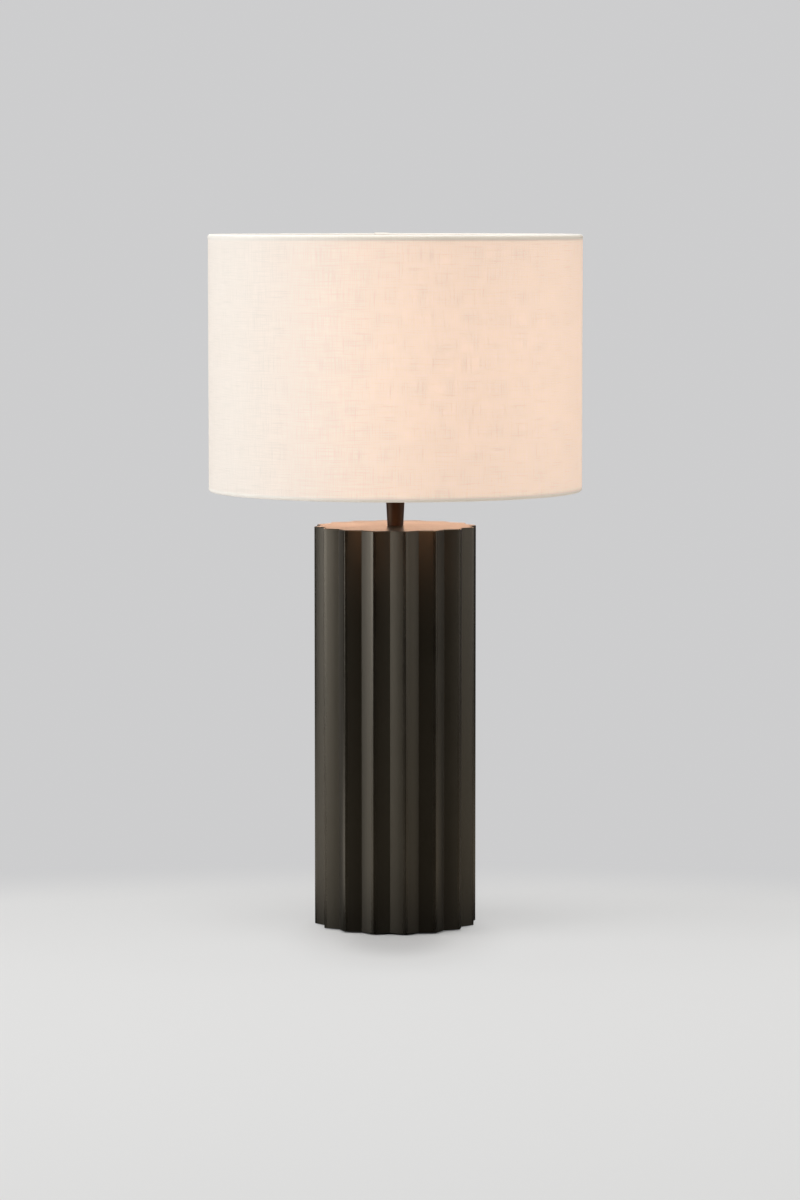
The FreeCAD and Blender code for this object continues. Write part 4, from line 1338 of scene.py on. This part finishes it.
@dataclass
class Studio:
    """Floor, background, softboxes, the light of the bulb, and the camera."""

    azimuth: float = math.radians(4.2)
    distance: float = 4.144
    camera_height: float = 0.6706
    aim_height: float = 0.3068
    aim_right: float = 4.4 * MM
    lens: float = 132.6
    sensor: float = 36.0
    wall: Colour = (0.612, 0.612, 0.618)
    table: Colour = (0.8, 0.8, 0.795)
    table_seen: Colour = (0.78, 0.78, 0.775)
    table_share: float = 0.6
    table_middle: float = 0.9
    table_end: Pair = (1.06, 1.3)
    # Painted shadow and reflection of the column on the floor in front of the foot: where, how
    # squeezed, how far and how dark.
    painted_shadow_middle: float = 0.11
    painted_shadow_squeeze: float = 1.7
    painted_shadow_range: Pair = (0.025, 0.11)
    painted_shadow_tone: float = 0.84
    plain_range: Pair = (0.05, 0.2)
    # Painted reflection of the floor for glossy surfaces: light towards the left softbox, dimmer
    # to the right, dim in front, with painted shadow near the foot.
    mirrored_left: Colour = (0.85, 0.79, 0.7)
    mirrored_right: Colour = (0.5, 0.43, 0.33)
    mirrored_front: Colour = (0.2, 0.168, 0.12)
    left_range: Pair = (0.45, 0.75)
    right_range: Pair = (0.6, 0.9)
    mirror_start: Pair = (0.1, 0.4)
    mirror_end: Pair = (0.7, 1.8)
    floor_radius: float = 30.0
    softboxes: tuple[Softbox, ...] = (
        Softbox(Side.LEFT, 45.6, (2.0, 2.0), 75.0, 2.4),
        Softbox(Side.RIGHT, 10.6, (2.4, 1.6), 76.0, 2.0),
        Softbox(Side.RIGHT, 1.8, (2.8, 1.6), 90.0, 2.2, gloss_alone=True),
        Softbox(Side.ABOVE, 39.0, (2.0, 2.0), 75.0, 2.4))
    softbox_lift: float = 0.45
    lamp_middle: float = 0.35
    bulb_colour: Colour = (1.0, 0.53, 0.31)
    bulb_spread: float = math.radians(60)
    lid_glow: float = 0.0058
    lid_behind: float = 130 * MM
    lid_size: Pair = (200 * MM, 20 * MM)
    collar_glow: float = 0.015
    collar_before: float = 150 * MM
    collar_size: Pair = (120 * MM, 20 * MM)
    collar_target: Pair = (70 * MM, -20 * MM)
    glow_rise: float = 24 * MM
    sky: float = 0.12
    back: float = 0.6
    front: float = 0.14
    front_range: Pair = (-0.2, 0.6)
    warm: Colour = (1.0, 0.82, 0.56)

    def __post_init__(self) -> None:
        """Finds the camera's right, and the way from the lamp to the camera, both level."""
        self.right = Vector((math.cos(self.azimuth), math.sin(self.azimuth), 0))
        self.towards = Vector((math.sin(self.azimuth), -math.cos(self.azimuth), 0))

    def camera(self) -> None:
        """Puts the camera where the photograph was taken from."""
        data = bpy.data.cameras.new("camera")
        data.lens = self.lens
        data.sensor_width = self.sensor
        camera = bpy.data.objects.new("camera", data)
        aimed(camera, self.towards * self.distance + Vector((0, 0, self.camera_height)),
              self.right * self.aim_right + Vector((0, 0, self.aim_height)))
        bpy.context.scene.camera = camera

    def softbox(self, kind: Softbox) -> None:
        """Sets up a softbox, turned to the lamp's middle."""
        angle = math.radians(kind.turn)
        across, up = kind.side.value
        way = ((self.right * across + Vector((0, 0, up))) * math.sin(angle)
               + self.towards * math.cos(angle))
        middle = Vector((0, 0, self.lamp_middle))
        lift = Vector((0, 0, self.softbox_lift * abs(across)))
        colour = self.warm if kind.gloss_alone else WHITE
        light = area_light(f"softbox_{kind.side.name.lower()}", kind.power, kind.size, colour)
        light.visible_diffuse = not kind.gloss_alone
        aimed(light, way * kind.away + middle + lift, middle)

    def shade_glow(self, name: str, power: float, size: Pair, reach: float,
                   target: Vector) -> None:
        """Warm light that the shade's inside throws down.

        Args:
            name: name of the light.
            power: watts.
            size: width and height.
            reach: how far in front of the lamp's axis it is; behind it where negative.
            target: what it shines at.
        """
        light = area_light(name, power, size, self.bulb_colour)
        light.data.spread = self.bulb_spread
        light.visible_camera = False
        height = Vector((0, 0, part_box("column")[1].z + self.glow_rise))
        aimed(light, height + self.towards * reach, target)

    def mirrored(self, shader: Shader, place: Value) -> Value:
        """What glossy surfaces see of the floor: a painted reflection of the lit floor, by its
        direction from the lamp.

        Args:
            shader: the floor's tree.
            place: object coordinates.

        Returns:
            A shader that is dark near the foot, as painted shadow, and dark far out.
        """
        side = shader.dot(shader.vector("NORMALIZE", place), self.right)
        colour = shader.mix(
            shader.between(0 - side, *self.left_range), self.mirrored_front, self.mirrored_left)
        colour = shader.mix(shader.between(side, *self.right_range), colour, self.mirrored_right)
        out = shader.vector("LENGTH", place)
        clear = (shader.between(out, *self.mirror_start)
                 * (1 - shader.between(out, *self.mirror_end)))
        return shader.emission(shader.mix(clear, BLACK, colour))

    def floor(self) -> None:
        """A pale floor that turns into the background further out, darkened in front of the foot
        by a painted shadow and reflection of the column.
        """
        bpy.ops.mesh.primitive_circle_add(
            vertices=128, radius=self.floor_radius, fill_type="NGON")
        floor = bpy.context.object
        floor.name = "floor"
        shader = Shader("floor")
        place = shader.place()
        centred = shader.vector("SUBTRACT", place, self.towards * self.table_middle)
        far = shader.between(shader.vector("LENGTH", centred), *self.table_end)
        # Painted shadow and reflection of the column: the floor's colour darkens in front of the
        # foot.
        along = shader.dot(place, self.towards) - self.painted_shadow_middle
        across = shader.dot(place, self.right) * self.painted_shadow_squeeze
        before = shader.math("SQRT", along * along + across * across)
        painted_shadow = 1 - shader.between(before, *self.painted_shadow_range)
        tone = shader.mix(painted_shadow, self.table, times(self.table, self.painted_shadow_tone))
        near = shader.node("ShaderNodeBsdfDiffuse", {"Color": tone})
        seen = shader.node("ShaderNodeLightPath", output="Is Camera Ray")
        share = shader.between(before, *self.plain_range) * self.table_share
        lit = shader.blend(seen * share, near, shader.emission(self.table_seen))
        lit = shader.blend(seen.out("Is Glossy Ray"), lit, self.mirrored(shader, place))
        floor.data.materials.append(shader.finish(
            shader.blend(far * seen, lit, shader.emission(self.wall))))

    def world(self) -> None:
        """Pale all round for the camera; for gloss, pale behind and dim in front."""
        world = bpy.data.worlds.new("studio")
        world.use_nodes = True
        graph = Graph(world.node_tree)
        graph.tree.nodes.clear()
        path = graph.node("ShaderNodeLightPath", output="Is Camera Ray")
        way = graph.node("ShaderNodeTexCoord", output="Generated")
        ahead = graph.between(graph.dot(way, self.towards), *self.front_range)
        gloss = self.back + ahead * (self.front - self.back)
        glossy = path.out("Is Glossy Ray")
        strength = self.sky + glossy * (gloss - self.sky)
        tint = graph.mix(glossy * ahead, WHITE, self.warm)
        lit = graph.node("ShaderNodeBackground", {"Color": tint, "Strength": strength})
        pale = graph.node("ShaderNodeBackground", {"Color": self.wall, "Strength": 1.0})
        seen = graph.math("MAXIMUM", path, path.out("Is Transmission Ray"))
        graph.node("ShaderNodeOutputWorld", {"Surface": graph.blend(seen, lit, pale)})
        bpy.context.scene.world = world

    def lights(self) -> None:
        """Sets up the world and every light."""
        self.world()
        for kind in self.softboxes:
            self.softbox(kind)
        top = Vector((0, 0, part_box("column")[1].z))
        before, above = self.collar_target
        collar = top + self.towards * before + Vector((0, 0, above))
        self.shade_glow("lid_light", self.lid_glow, self.lid_size, -self.lid_behind, top)
        self.shade_glow(
            "collar_light", self.collar_glow, self.collar_size, self.collar_before, collar)

    def build(self) -> None:
        """Sets the studio up."""
        self.camera()
        self.floor()
        self.lights()
        bpy.context.scene.view_settings.view_transform = "Standard"


def main() -> None:
    """Builds the lamp from the foot up, and the studio round it."""
    logging.basicConfig(level=logging.INFO, format="%(name)s: %(message)s")
    Studio().build()
    wardrobe = Wardrobe()
    for assembly in (Foot(), Column(), Stem(), Lampholder(), Shade(), Bulb()):
        LOG.info("building %s", type(assembly).__name__)
        assembly.build(wardrobe)


if __name__ == "__main__":
    main()
